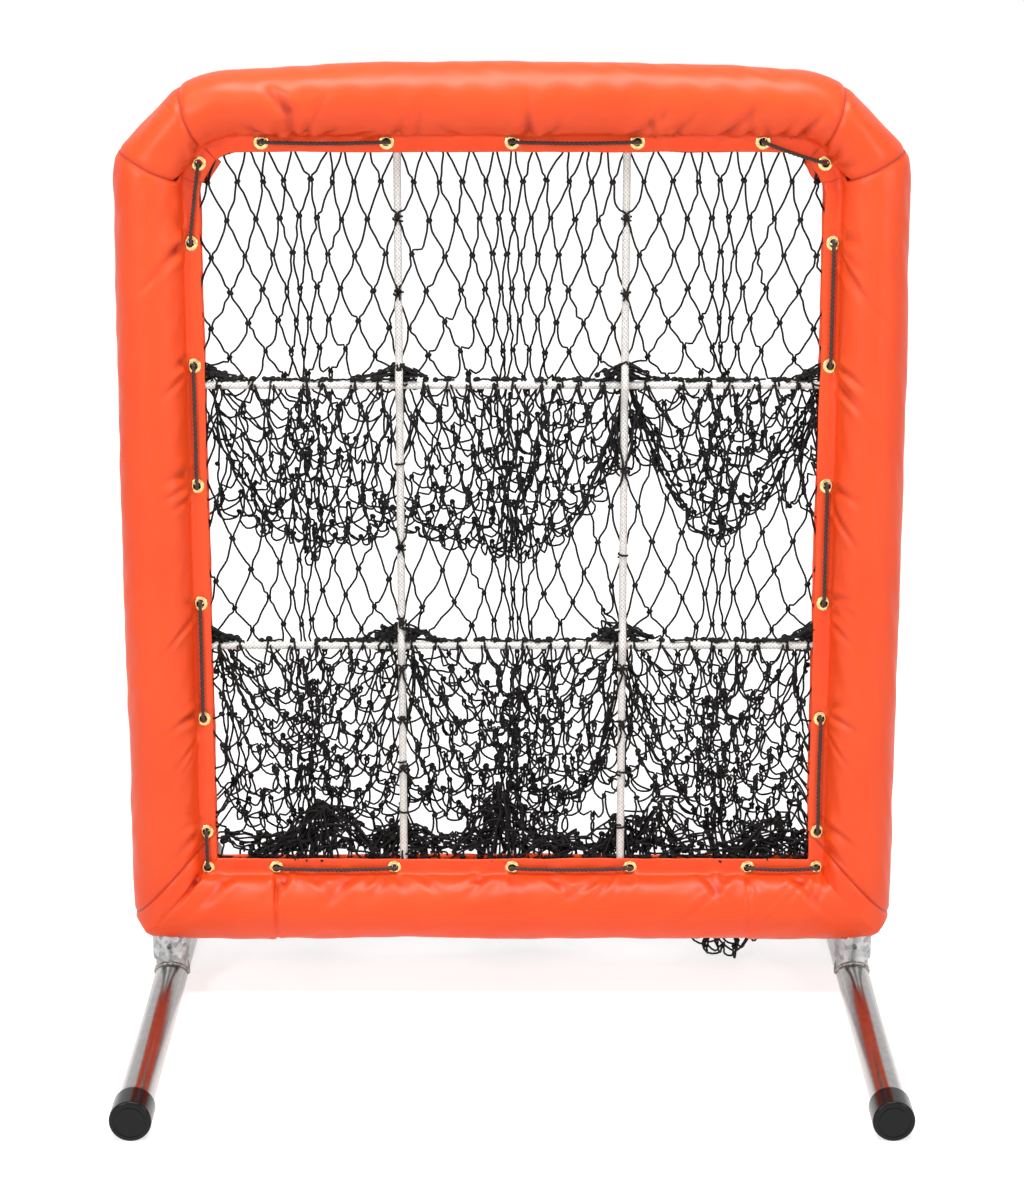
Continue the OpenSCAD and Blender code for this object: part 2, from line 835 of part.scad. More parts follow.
// A net pocket as one sheet with diamond gaps
module net_pocket(row, from_x, to_x, outer) {
    grid = [
        for (i = [0 : net_columns])
            [for (j = [0 : net_rows]) net_point(i, j, row, from_x, to_x, outer)]
    ];
    normals = [
        for (i = [0 : net_columns])
            [
                for (j = [0 : net_rows])
                    let (at_edge = i == 0 || i == net_columns,
                         across = at_edge ? [1, 0, 0] : grid[i + 1][j] - grid[i - 1][j],
                         down = grid[i][min(j + 1, net_rows)] - grid[i][max(j - 1, 0)])
                        unit(cross(across, down))
            ]
    ];
    steps = [[1, 0], [0, 1], [-1, 0], [0, -1]];
    function is_gap(i, j) =
        (i + j) % 2 == 1 && i > 0 && i < net_columns && j > 0 && j < net_rows;
    // Mean distance along the sheet from a grid point to its two neighbours on one line
    function mean_step(before, here, after) = (norm(after - here) + norm(here - before)) / 2;
    // A gap's corner lies on the line to the next knot, half a strand short of it
    function corner_share(i, j) =
        let (wide = mean_step(grid[i - 1][j], grid[i][j], grid[i + 1][j]),
             tall = mean_step(grid[i][j - 1], grid[i][j], grid[i][j + 1]))
        max(0.3, 1 - strand_w / 2 * sqrt(wide * wide + tall * tall) / (wide * tall));
    function surface_point(i, j, d) =
        is_gap(i, j)
            ? let (s = corner_share(i, j), k = steps[d])
                [
                    grid[i][j] * (1 - s) + grid[i + k[0]][j + k[1]] * s,
                    unit(normals[i][j] * (1 - s) + normals[i + k[0]][j + k[1]] * s)
                ]
            : [grid[i][j], normals[i][j]];
    surface = [
        for (i = [0 : net_columns])
            for (j = [0 : net_rows])
                for (d = [0 : 3]) surface_point(i, j, d)
    ];
    total = len(surface);
    points = concat(
        [for (s = surface) s[0] - s[1] * net_half],
        [for (s = surface) s[0] + s[1] * net_half]
    );
    function at(i, j, d) = (i * (net_rows + 1) + j) * 4 + (is_gap(i, j) ? d : 0);
    function whole(t) = t[0] != t[1] && t[1] != t[2] && t[0] != t[2];
    function two_sides(a, b, c, d) = [
        for (t = [[a, b, c], [a, c, d]])
            if (whole(t))
                for (side = [t, [t[2] + total, t[1] + total, t[0] + total]]) side
    ];
    function wall(a, b) = [[a, b, b + total], [a, b + total, a + total]];
    // Each grid square holds one strand, along the diagonal that joins its two knots
    strands = [
        for (i = [0 : net_columns - 1])
            for (j = [0 : net_rows - 1])
                let (even = (i + j) % 2 == 0)
                    for (t = even
                        ? two_sides(at(i + 1, j, 2), at(i + 1, j, 1), at(i, j + 1, 0), at(i, j + 1, 3))
                        : two_sides(at(i, j, 0), at(i + 1, j + 1, 3), at(i + 1, j + 1, 2), at(i, j, 1)))
                        t
    ];
    knots = [
        for (i = [0 : net_columns])
            for (j = [0 : net_rows])
                if ((i + j) % 2 == 0)
                    let (right = i < net_columns ? at(i + 1, j, 2) : at(i, j, 0),
                         below = j < net_rows ? at(i, j + 1, 3) : at(i, j, 0),
                         left = i > 0 ? at(i - 1, j, 0) : at(i, j, 0),
                         above = j > 0 ? at(i, j - 1, 1) : at(i, j, 0))
                        for (t = two_sides(right, below, left, above)) t
    ];
    gap_walls = [
        for (i = [1 : net_columns - 1])
            for (j = [1 : net_rows - 1])
                if (is_gap(i, j))
                    for (d = [0 : 3])
                        for (t = wall(at(i, j, d), at(i, j, (d + 1) % 4))) t
    ];
    edge = concat(
        [for (i = [0 : net_columns - 1]) at(i, 0, 0)],
        [for (j = [0 : net_rows - 1]) at(net_columns, j, 0)],
        [for (i = [net_columns : -1 : 1]) at(i, net_rows, 0)],
        [for (j = [net_rows : -1 : 1]) at(0, j, 0)]
    );
    edge_walls = [
        for (k = [0 : len(edge) - 1])
            for (t = wall(edge[(k + 1) % len(edge)], edge[k])) t
    ];
    color([0.10, 0.10, 0.10])
        polyhedron(points = points, faces = concat(strands, knots, gap_walls, edge_walls));
}

module outer_pocket(row) {
    net_pocket(row, -hem_x, -rope_x - rope_side, true);
}

module centre_pocket(row) {
    net_pocket(row, -rope_x + rope_side, rope_x - rope_side, false);
}

module net_top_left() {
    outer_pocket(0);
}

module net_top_centre() {
    centre_pocket(0);
}

module net_top_right() {
    mirror([1, 0, 0])
        outer_pocket(0);
}

module net_middle_left() {
    outer_pocket(1);
}

module net_middle_centre() {
    centre_pocket(1);
}

module net_middle_right() {
    mirror([1, 0, 0])
        outer_pocket(1);
}

module net_bottom_left() {
    outer_pocket(2);
}

module net_bottom_centre() {
    centre_pocket(2);
}

module net_bottom_right() {
    mirror([1, 0, 0])
        outer_pocket(2);
}

// ---------- feet ----------

tube_half = foot_length / 2 - cap_face;

module along_y(start, length) {
    translate([0, start, foot_z])
        rotate([-90, 0, 0])
            linear_extrude(height = length)
                children();
}

module foot_tube() {
    color([0.75, 0.76, 0.77])
        along_y(-tube_half, 2 * tube_half)
            difference() {
                circle(r = foot_r);
                circle(r = foot_r - foot_wall);
            }
}

module foot_bar(radius) {
    along_y(-foot_length, 2 * foot_length)
        circle(r = radius);
}

module stub() {
    color([0.75, 0.76, 0.77])
        difference() {
            translate([0, 0, foot_z])
                cylinder(r = foot_r, h = foot_r + stub_length);
            translate([0, 0, foot_z - 1])
                cylinder(r = foot_r - foot_wall, h = foot_r + stub_length + 2);
            foot_bar(foot_r);
        }
}

module weld() {
    color([0.62, 0.62, 0.62])
        difference() {
            union() {
                translate([0, 0, foot_z])
                    cylinder(r = weld_r, h = foot_r + 0.3 * weld_leg);
                translate([0, 0, saddle_z + 0.3 * weld_leg])
                    cylinder(r1 = weld_r, r2 = foot_r + 0.4, h = 0.7 * weld_leg);
            }
            translate([0, 0, foot_z - 1])
                cylinder(r = foot_r, h = 4 * foot_r);
            foot_bar(foot_r);
        }
}

// Round cup pushed on a tube end, with a rounded rim and a shallow ring in its face
module cap() {
    edge_r = 3;
    color([0.06, 0.06, 0.06])
        translate([0, -foot_length / 2, foot_z])
            rotate([-90, 0, 0])
                rotate_extrude()
                    difference() {
                        union() {
                            square([cap_r - edge_r, cap_length]);
                            translate([0, edge_r])
                                square([cap_r, cap_length - edge_r]);
                            translate([cap_r - edge_r, edge_r])
                                circle(r = edge_r);
                        }
                        translate([0, cap_face])
                            square([foot_r + 0.05, cap_length]);
                        translate([cap_r - 8, 0])
                            square([2.5, 0.8]);
                    }
}

module at_right_post() {
    translate([post_x, 0, 0]) children();
}

module rear_of_foot() {
    mirror([0, 1, 0]) children();
}

module left_foot_tube() {
    at_left_post() foot_tube();
}

module left_stub() {
    at_left_post() stub();
}

module left_weld() {
    at_left_post() weld();
}

module left_front_cap() {
    at_left_post() cap();
}

module left_rear_cap() {
    at_left_post() rear_of_foot() cap();
}

module right_foot_tube() {
    at_right_post() foot_tube();
}

module right_stub() {
    at_right_post() stub();
}

module right_weld() {
    at_right_post() weld();
}

module right_front_cap() {
    at_right_post() cap();
}

module right_rear_cap() {
    at_right_post() rear_of_foot() cap();
}

// ---------- lock screws ----------

// Socket set screw through the upright's wall; its tip stops just short of the stub
module lock_screw() {
    tip_y = foot_r + seat_gap;
    length = frame_r + screw_stand - tip_y;
    color([0.35, 0.35, 0.36])
        translate([0, -tip_y, hoop_end_z + screw_rise])
            rotate([90, 0, 0])
                difference() {
                    cylinder(d = screw_d, h = length);
                    translate([0, 0, length - 2.5])
                        cylinder(d = screw_socket / cos(30), h = 3, $fn = 6);
                }
}

module left_lock_screw() {
    at_left_post() lock_screw();
}

module right_lock_screw() {
    at_right_post() lock_screw();
}

hoop_tube();
bottom_rail();
foam_left();
foam_right();
foam_top();
foam_bottom();
foam_corner_left();
foam_corner_right();
cover_left();
cover_right();
cover_top();
cover_bottom();
gusset_left();
gusset_right();
front_grommets();
rear_grommets();
lacing_cord();
rope_vertical_left();
rope_vertical_right();
rope_horizontal_upper();
rope_horizontal_lower();
rope_ties();
net_top_left();
net_top_centre();
net_top_right();
net_middle_left();
net_middle_centre();
net_middle_right();
net_bottom_left();
net_bottom_centre();
net_bottom_right();
left_foot_tube();
left_stub();
left_weld();
left_front_cap();
left_rear_cap();
right_foot_tube();
right_stub();
right_weld();
right_front_cap();
right_rear_cap();
left_lock_screw();
right_lock_screw();
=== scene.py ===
# %% [markdown]
# # A nine-pocket throwing target
# A hoop of galvanised tube stands on two plug-in feet. It wears foam under an orange vinyl
# cover, which is laced round the window. White ropes divide the window into nine cells, and a
# black knotted net hangs behind each as a pocket. The tubes, caps and screws come from the
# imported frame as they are. This script dresses the rest: cover, eyelets, cord, ropes and net.

# %% Frame, and the sizes read from it
import math

import bpy
import numpy as np
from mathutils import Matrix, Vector


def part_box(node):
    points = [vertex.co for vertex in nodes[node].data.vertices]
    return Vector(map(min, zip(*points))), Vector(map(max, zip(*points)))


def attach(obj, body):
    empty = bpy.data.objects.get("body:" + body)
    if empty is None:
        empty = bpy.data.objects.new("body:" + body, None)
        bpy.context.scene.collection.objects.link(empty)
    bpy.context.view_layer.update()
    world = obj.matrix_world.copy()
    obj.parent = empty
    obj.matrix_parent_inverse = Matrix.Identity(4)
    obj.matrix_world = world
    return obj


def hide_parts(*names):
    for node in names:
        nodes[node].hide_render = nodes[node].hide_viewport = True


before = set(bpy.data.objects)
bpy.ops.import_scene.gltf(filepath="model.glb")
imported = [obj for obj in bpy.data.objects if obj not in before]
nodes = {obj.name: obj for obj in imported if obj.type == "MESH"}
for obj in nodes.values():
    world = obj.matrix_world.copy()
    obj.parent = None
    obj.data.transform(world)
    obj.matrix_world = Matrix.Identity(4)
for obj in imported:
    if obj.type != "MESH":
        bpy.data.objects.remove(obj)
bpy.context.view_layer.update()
mm = 0.001

rail_low, rail_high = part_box("bottom_rail")
hoop_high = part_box("hoop_tube")[1]
pad_low, pad_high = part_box("cover_top")
tube_r = (rail_high.z - rail_low.z) / 2
rail_z = (rail_high.z + rail_low.z) / 2
post_x = hoop_high.x - tube_r
top_z = hoop_high.z - tube_r
pad_r = (pad_high.y - pad_low.y) / 2
rope_low, rope_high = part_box("rope_horizontal_upper")
rope_r = (rope_high.z - rope_low.z) / 2
upper_rope_z = (rope_high.z + rope_low.z) / 2
lower_rope_z = sum(corner.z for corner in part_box("rope_horizontal_lower")) / 2
rope_x = sum(corner.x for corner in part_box("rope_vertical_right")) / 2
print(f"uprights at x = +-{post_x:.4f}, top rail at z = {top_z:.4f}, pad radius {pad_r:.4f}")

# %% [markdown]
# ## The camera
# It stands a little above the object and looks down by fifteen degrees, from far enough away
# that the frame's sides stay nearly parallel. From there a long lens takes in the whole object.

# %% Camera
picture_height = 1196
focal_pixels = 3039
sensor = 36.0
camera_place = (0, -3.713, 1.534)
looks_down = 15.1
camera_data = bpy.data.cameras.new("camera")
camera_data.sensor_width = sensor
camera_data.lens = focal_pixels / picture_height * sensor
camera = bpy.data.objects.new("camera", camera_data)
camera.location = camera_place
camera.rotation_euler = (math.radians(90 - looks_down), 0, 0)
bpy.context.scene.collection.objects.link(camera)
bpy.context.scene.camera = camera
bpy.context.scene.view_settings.view_transform = "Standard"
print(f"the lens is {camera_data.lens:.1f} mm long")

# %% [markdown]
# ## Small helpers for meshes
# Most pieces here are grids of points worked out with NumPy. One function numbers the faces of
# such a grid, and one turns points and faces into a mesh object, so that each piece's own cell
# can stay short.

# %% Helpers for meshes
def link(obj):
    bpy.context.scene.collection.objects.link(obj)
    return obj


def mesh_object(name, points, faces, material=None, smooth=True):
    """A mesh object from an array of points and a list or array of faces."""
    mesh = bpy.data.meshes.new(name)
    mesh.from_pydata(np.asarray(points, float).tolist(), [], [tuple(map(int, f)) for f in faces])
    mesh.validate()
    if smooth:
        mesh.shade_smooth()
    if material:
        mesh.materials.append(material)
    return link(bpy.data.objects.new(name, mesh))


def grid_faces(rows, columns, closed_rows=False, closed_columns=False):
    """Quads between neighbouring points of a grid that is numbered row by row."""
    r = np.arange(rows if closed_rows else rows - 1)
    c = np.arange(columns if closed_columns else columns - 1)
    r, c = (a.ravel() for a in np.meshgrid(r, c, indexing="ij"))
    r2, c2 = (r + 1) % rows, (c + 1) % columns
    return np.stack([r * columns + c, r * columns + c2, r2 * columns + c2, r2 * columns + c], 1)


# %% [markdown]
# ## Small helpers for materials
# Every finish starts as a Principled shader, and most of them then vary a little from place to
# place. Writing that out node by node would bury the idea, so each helper here stands for one
# step: start a material, add a node, map a value to colours, map it to a range, add relief.

# %% Helpers for materials
def material(name, colour, roughness, metallic=0.0):
    """A new Principled material, with its node tree and its shader."""
    mat = bpy.data.materials.new(name)
    mat.use_nodes = True
    shader = mat.node_tree.nodes["Principled BSDF"]
    shader.inputs["Base Color"].default_value = (*colour, 1)
    shader.inputs["Roughness"].default_value = roughness
    shader.inputs["Metallic"].default_value = metallic
    mat.diffuse_color = (*colour, 1)
    return mat, mat.node_tree, shader


def add(tree, kind, inputs=None, **settings):
    """Adds a node, sets its properties and its inputs, and links inputs that are sockets."""
    node = tree.nodes.new(kind)
    for key, value in settings.items():
        setattr(node, key, value)
    for key, value in (inputs or {}).items():
        if isinstance(value, bpy.types.NodeSocket):
            tree.links.new(value, node.inputs[key])
        else:
            node.inputs[key].default_value = value
    return node


def ramp(tree, value, stops):
    """A colour ramp between (place, colour) stops."""
    node = add(tree, "ShaderNodeValToRGB", {"Fac": value})
    elements = node.color_ramp.elements
    while len(elements) < len(stops):
        elements.new(0.5)
    for element, (place, colour) in zip(elements, stops):
        element.position = place
        element.color = (*colour, 1)
    return node.outputs["Color"]


def spread(tree, value, low, high):
    """Maps 0..1 to low..high."""
    inputs = {"Value": value, "To Min": low, "To Max": high}
    return add(tree, "ShaderNodeMapRange", inputs).outputs["Result"]


def object_noise(tree, scale, detail=3.0):
    place = add(tree, "ShaderNodeTexCoord").outputs["Object"]
    inputs = {"Vector": place, "Scale": scale, "Detail": detail}
    return add(tree, "ShaderNodeTexNoise", inputs).outputs["Fac"]


def paint_shade_from(tree, shader, attribute, stops):
    """Paints shade into the base colour by multiplying it with a ramp over a mesh point attribute.
    """
    fresh = shader.inputs["Base Color"].links[0].from_socket
    amount = add(tree, "ShaderNodeAttribute", attribute_name=attribute).outputs["Fac"]
    both = {"Factor": 1.0, "A": fresh, "B": ramp(tree, amount, stops)}
    mix = add(tree, "ShaderNodeMix", both, data_type="RGBA", blend_type="MULTIPLY")
    tree.links.new(mix.outputs["Result"], shader.inputs["Base Color"])


def bump(tree, shader, height, distance, strength=1.0, below=None):
    """Relief from a height, laid over the relief that comes before it."""
    inputs = {"Height": height, "Distance": distance, "Strength": strength}
    if below:
        inputs["Normal"] = below
    node = add(tree, "ShaderNodeBump", inputs)
    tree.links.new(node.outputs["Normal"], shader.inputs["Normal"])
    return node.outputs["Normal"]


# %% [markdown]
# ## Floor and backdrop
# The studio is pale: a white floor that keeps a faint shadow, and a white surround. A white
# room would flood the object with light and wash its colours out. So both ask what kind of ray
# meets them: they show white to the camera and in polished metal, and light the object only
# gently. The floor glows less near the object, so that the shadow there isn't lost.

# %% Floor and backdrop
def shown_rays(tree):
    """1 for rays from the camera, off metal and through glass; 0 for rays that give light."""
    rays = add(tree, "ShaderNodeLightPath").outputs
    seen = rays["Is Camera Ray"]
    for kind in ("Is Glossy Ray", "Is Transmission Ray"):
        seen = add(tree, "ShaderNodeMath", {0: seen, 1: rays[kind]}, operation="MAXIMUM").outputs[0]
    return seen


def studio_floor(half=12.0, lit=0.04):
    mat, tree, shader = material("studio_floor", (0.8, 0.8, 0.8), 1.0)
    shader.inputs["Specular IOR Level"].default_value = 0.0
    shader.inputs["Emission Color"].default_value = (1, 1, 1, 1)
    place = add(tree, "ShaderNodeTexCoord").outputs["Object"]
    away = add(tree, "ShaderNodeVectorMath", {0: place}, operation="LENGTH").outputs["Value"]
    white = add(tree, "ShaderNodeMapRange", {"Value": away, "From Min": 0.8, "From Max": 3.0,
                                             "To Min": 0.68, "To Max": 1.0}).outputs["Result"]
    tree.links.new(spread(tree, shown_rays(tree), lit, white), shader.inputs["Emission Strength"])
    corners = [(-half, -half, 0), (half, -half, 0), (half, half, 0), (-half, half, 0)]
    mesh_object("studio_floor", corners, [(0, 1, 2, 3)], mat)


def surround(shown=1.0, lit=0.24):
    world = bpy.data.worlds.new("studio")
    bpy.context.scene.world = world
    world.use_nodes = True
    tree = world.node_tree
    strength = spread(tree, shown_rays(tree), lit, shown)
    background = tree.nodes["Background"]
    background.inputs["Color"].default_value = (1, 1, 1, 1)
    tree.links.new(strength, background.inputs["Strength"])


studio_floor()
surround()
print("floor and surround made")

# %% [markdown]
# ## Lamps
# Three large lamps light the object: one overhead, and one on each side in front of it, the
# left one stronger. A large lamp gives soft edges to shadows and broad highlights on vinyl.
# The uneven sides are what makes the creases show.

# %% Lamps
def soft_lamp(name, place, aim, size, power):
    data = bpy.data.lights.new(name, "AREA")
    data.shape = "RECTANGLE"
    data.size, data.size_y = size
    data.energy = power
    lamp = link(bpy.data.objects.new(name, data))
    lamp.location = place
    lamp.rotation_euler = (Vector(aim) - Vector(place)).to_track_quat("-Z", "Y").to_euler()


middle = (0, 0, 0.62)
soft_lamp("overhead", (0, -0.9, 3.6), middle, (2.4, 1.0), 88)
soft_lamp("front_left", (-2.3, -3.4, 2.3), middle, (1.0, 1.4), 56)
soft_lamp("front_right", (2.7, -3.0, 1.7), middle, (1.0, 1.4), 34)
print(f"{len(bpy.data.lights)} lamps set")

# %% [markdown]
# ## Galvanised steel
# Galvanised tube has a zinc skin that freezes in crystals, so its grey changes a little from
# patch to patch. Voronoi cells give the crystals and noise gives the clouds over them. The
# uprights show this strongly and the foot tubes are smoother, so one function makes both. A
# weld is darker and lumpy, and gets a material of its own.

# %% Galvanised steel
def zinc(name, dark, light, rough, relief):
    mat, tree, shader = material(name, light, 0.3, 1.0)
    place = add(tree, "ShaderNodeTexCoord").outputs["Object"]
    crystal = add(tree, "ShaderNodeTexVoronoi", {"Vector": place, "Scale": 160.0}).outputs["Color"]
    grey = add(tree, "ShaderNodeSeparateColor", {"Color": crystal}).outputs["Red"]
    cloud = object_noise(tree, 45.0)
    both = add(tree, "ShaderNodeMix", {"Factor": 0.5, "A": grey, "B": cloud}).outputs["Result"]
    tree.links.new(ramp(tree, both, [(0.2, dark), (0.8, light)]), shader.inputs["Base Color"])
    tree.links.new(spread(tree, both, *rough), shader.inputs["Roughness"])
    bump(tree, shader, cloud, relief, 0.35)
    return mat


def weld_metal():
    mat, tree, shader = material("weld_bead", (0.30, 0.29, 0.28), 0.45, 0.9)
    cloud = object_noise(tree, 260.0)
    tree.links.new(ramp(tree, cloud, [(0.3, (0.13, 0.11, 0.10)), (0.75, (0.55, 0.54, 0.52))]),
                   shader.inputs["Base Color"])
    bump(tree, shader, cloud, 0.5 * mm, 0.6)
    return mat


zinc_finish = zinc(
    "galvanised_zinc", (0.20, 0.205, 0.21), (0.52, 0.52, 0.52), (0.24, 0.42), 0.35 * mm)
drawn_finish = zinc(
    "drawn_zinc", (0.30, 0.29, 0.28), (0.38, 0.365, 0.355), (0.20, 0.25), 0.06 * mm)
weld_finish = weld_metal()
print("three metal finishes made")

# %% [markdown]
# ## Orange vinyl
# The vinyl is a smooth coat over woven cloth. It has a soft broad sheen, a very fine grain and
# a slightly uneven colour where it is stretched or rubbed. Inside a fold less light gets in, and
# that shade is painted into the colour: each panel's mesh carries the painted shade as a point
# attribute called fold, since it knows best where its own folds are.

# %% Vinyl
def vinyl():
    mat, tree, shader = material("orange_vinyl", (1.0, 0.082, 0.011), 0.42)
    cloud = object_noise(tree, 9.0, 4.0)
    tree.links.new(ramp(tree, cloud, [(0.25, (0.98, 0.074, 0.008)), (0.75, (1.0, 0.094, 0.014))]),
                   shader.inputs["Base Color"])
    # Painted shade: the colour darkens in creases, at flap roots and in seams, after the mesh's
    # fold attribute.
    paint_shade_from(tree, shader, "fold", [(0.10, (1, 1, 1)), (0.90, (0.56, 0.48, 0.55))])
    tree.links.new(spread(tree, object_noise(tree, 60.0), 0.36, 0.50), shader.inputs["Roughness"])
    shader.inputs["Specular IOR Level"].default_value = 0.45
    place = add(tree, "ShaderNodeTexCoord").outputs["Object"]
    grain = add(tree, "ShaderNodeTexVoronoi", {"Vector": place, "Scale": 1100.0})
    fine = bump(tree, shader, grain.outputs["Distance"], 0.06 * mm, 0.5)
    bump(tree, shader, object_noise(tree, 28.0, 5.0), 1.2 * mm, 0.25, fine)
    return mat


vinyl_finish = vinyl()
print("vinyl made")

# %% [markdown]
# ## Brass, caps and screws
# The eyelets are rolled brass, bright on the ridge and dull where fingers and cord have been.
# The caps are moulded black plastic, and the screws are blackened steel. Each of them is one
# plain colour with a little unevenness in its gloss, which is enough at this size.

# %% Brass, caps and screws
def brass():
    mat, tree, shader = material("rolled_brass", (0.80, 0.58, 0.24), 0.22, 1.0)
    cloud = object_noise(tree, 300.0)
    tree.links.new(ramp(tree, cloud, [(0.3, (0.55, 0.37, 0.12)), (0.6, (0.86, 0.65, 0.30))]),
                   shader.inputs["Base Color"])
    tree.links.new(spread(tree, cloud, 0.16, 0.34), shader.inputs["Roughness"])
    return mat


def black_cap():
    mat, tree, shader = material("black_cap", (0.004, 0.004, 0.004), 0.3)
    shader.inputs["Specular IOR Level"].default_value = 0.22
    tree.links.new(spread(tree, object_noise(tree, 90.0), 0.16, 0.28), shader.inputs["Roughness"])
    bump(tree, shader, object_noise(tree, 500.0), 0.1 * mm, 0.3)
    return mat


def dark_screw():
    mat, tree, shader = material("dark_screw", (0.20, 0.20, 0.20), 0.4, 0.8)
    tree.links.new(spread(tree, object_noise(tree, 700.0), 0.3, 0.55), shader.inputs["Roughness"])
    return mat


brass_finish = brass()
cap_finish = black_cap()
screw_finish = dark_screw()
print("brass, cap and screw finishes made")

# %% [markdown]
# ## Cords, ropes and twine
# All three are bundles of fibre, so one function makes their finishes: the colour varies from
# strand to strand, the surface is finely ridged, and dry fibre has a faint sheen at its edges.
# The rope's grooves between its strands get painted shade: its mesh carries how deep in a gap
# each point lies as an attribute, and the colour darkens with it. The net's twine is almost
# black and dull, so its sheen is turned off.

# %% Cords, ropes and twine
def fibre(name, dark, light, grain, roughness=0.8):
    mat, tree, shader = material(name, light, roughness)
    cloud = object_noise(tree, grain, 4.0)
    tree.links.new(ramp(tree, cloud, [(0.3, dark), (0.7, light)]), shader.inputs["Base Color"])
    shader.inputs["Sheen Weight"].default_value = 0.15
    bump(tree, shader, object_noise(tree, grain * 4), 0.15 * mm, 0.5)
    return mat, tree, shader


lace_finish = fibre("dark_lace", (0.022, 0.013, 0.010), (0.105, 0.060, 0.046), 900.0)[0]
rope_finish, rope_nodes, rope_shader = fibre(
    "white_rope", (0.80, 0.78, 0.73), (0.96, 0.95, 0.92), 500.0)
# Painted shade: the rope's colour darkens in the gaps of its weave.
paint_shade_from(rope_nodes, rope_shader, "groove", [(0.25, (1, 1, 1)), (0.80, (0.16, 0.14, 0.11))])
twine_finish, _, twine_shader = fibre(
    "black_twine", (0.002, 0.002, 0.002), (0.011, 0.009, 0.009), 700.0, 0.65)
twine_shader.inputs["Sheen Weight"].default_value = 0.0
twine_shader.inputs["Specular IOR Level"].default_value = 0.22
print("fibre finishes made")

# %% [markdown]
# ## The metal and plastic parts
# Tubes, stubs, caps and screws are plain turned and bent shapes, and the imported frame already
# has them in full. They stay as they are and only get their finish, chosen by what the end of
# the part's name says it is.

# %% Finishes for the parts that show as they are
for node_name, node in nodes.items():
    finish = (
        cap_finish if node_name.endswith("_cap")
        else screw_finish if node_name.endswith("_screw")
        else weld_finish if node_name.endswith("_weld")
        else drawn_finish if node_name.endswith("_foot_tube")
        else zinc_finish if node_name.endswith(("_tube", "_stub", "_rail"))
        else None
    )
    if finish:
        node.data.materials.clear()
        node.data.materials.append(finish)
print(f"{len(bpy.data.materials)} materials")

# %% [markdown]
# ## The section of the padded cover
# The cover is a sheet of vinyl wrapped round the foam. Its two edges come together on the
# window's side as a pair of flat flaps, which are laced to each other. So every panel has the
# same section: front flap, round body, rear flap. It is drawn once, through a few points, and
# swept along each side of the frame. Modelling the sheet itself, and not a solid ring, gives
# real free edges where the flaps end.

# %% Cover section
cover_wall = 1.5 * mm
flap_half = 7.1 * mm
flap_reach = 63 * mm
grid_step = 3.6 * mm


def smooth_line(chosen, step):
    """Evenly spaced points on the smooth curve through a few chosen ones."""
    chosen = np.asarray(chosen, float)
    ends = 2 * chosen[[0, -1]] - chosen[[1, -2]]
    p = np.concatenate([ends[:1], chosen, ends[1:]])[:, None]
    t = np.linspace(0, 1, 24, endpoint=False)[None, :, None]
    a, b, c, d = p[:-3], p[1:-2], p[2:-1], p[3:]
    fine = 0.5 * (2 * b + (c - a) * t + (2 * a - 5 * b + 4 * c - d) * t**2
                  + (3 * b - a - 3 * c + d) * t**3)
    fine = np.concatenate([fine.reshape(-1, chosen.shape[1]), chosen[-1:]])
    run = np.concatenate([[0], np.cumsum(np.linalg.norm(np.diff(fine, axis=0), axis=1))])
    places = np.linspace(0, run[-1], max(2, round(run[-1] / step) + 1))
    return np.stack([np.interp(places, run, fine[:, i]) for i in range(fine.shape[1])], 1)


def cover_section():
    """The section in millimetres from the tube's centre, u towards the window, y to the rear."""
    flap = [(63, -7.1), (58, -7.1), (52, -7.1), (46.5, -7.2), (43, -8.4), (41.2, -12.5),
            (39.6, -20), (35.6, -28.6)]
    angles = [math.radians(a) for a in range(52, 180, 8)]
    body = [(46 * math.cos(a), -46 * math.sin(a)) for a in angles]
    front = flap + body
    rear = [(u, -y) for u, y in reversed(front)]
    return smooth_line(front + [(-46, 0)] + rear, grid_step / mm) * mm


section = cover_section()
section_u, section_y = section.T
section_run = np.concatenate([[0], np.cumsum(np.linalg.norm(np.diff(section, axis=0), axis=1))])
from_edge = np.minimum(section_run, section_run[-1] - section_run)
along_section = np.gradient(section, axis=0)
along_section /= np.linalg.norm(along_section, axis=1)[:, None]
normal_u, normal_y = along_section[:, 1], -along_section[:, 0]
if normal_u[len(section) // 2] > 0:
    normal_u, normal_y = -normal_u, -normal_y
on_body = np.clip((from_edge / mm - 22) / 14, 0, 1)
print(f"the section has {len(section)} points over {section_run[-1]:.3f} m")

# %% [markdown]
# ## Where the section goes
# Each panel follows the frame's centre line from one seam to the next. The seams are not
# square to the tube, so where a row of points starts depends on how far it lies from the
# tube's centre. Each function below takes the share of the way and that distance, and returns
# a place on the centre line with the direction to the window.

# %% The frame's bends and the corner seams
bend_r = 114.3 * mm
bend_x = post_x - bend_r
bend_z = top_z - bend_r
seam_rise = 36 * mm


def seam_angle(u, inner, outer):
    """A corner seam's angle about the bend's centre, which grows a little outwards."""
    radius = bend_r - u
    return np.radians(inner + (outer - inner) * (radius - 0.05) / 0.105)


def low_seam(u):
    return seam_angle(u, 11.7, 19.5)


def high_seam(u):
    return seam_angle(u, 48.7, 60.0)


def on_bend(angle):
    """Centre line and window direction on the left top bend, angle up from the horizontal."""
    place = np.stack([-bend_x - bend_r * np.cos(angle), bend_z + bend_r * np.sin(angle)], -1)
    return place, np.stack([np.cos(angle), -np.sin(angle)], -1)


print(f"the bends have a radius of {bend_r:.4f} m")

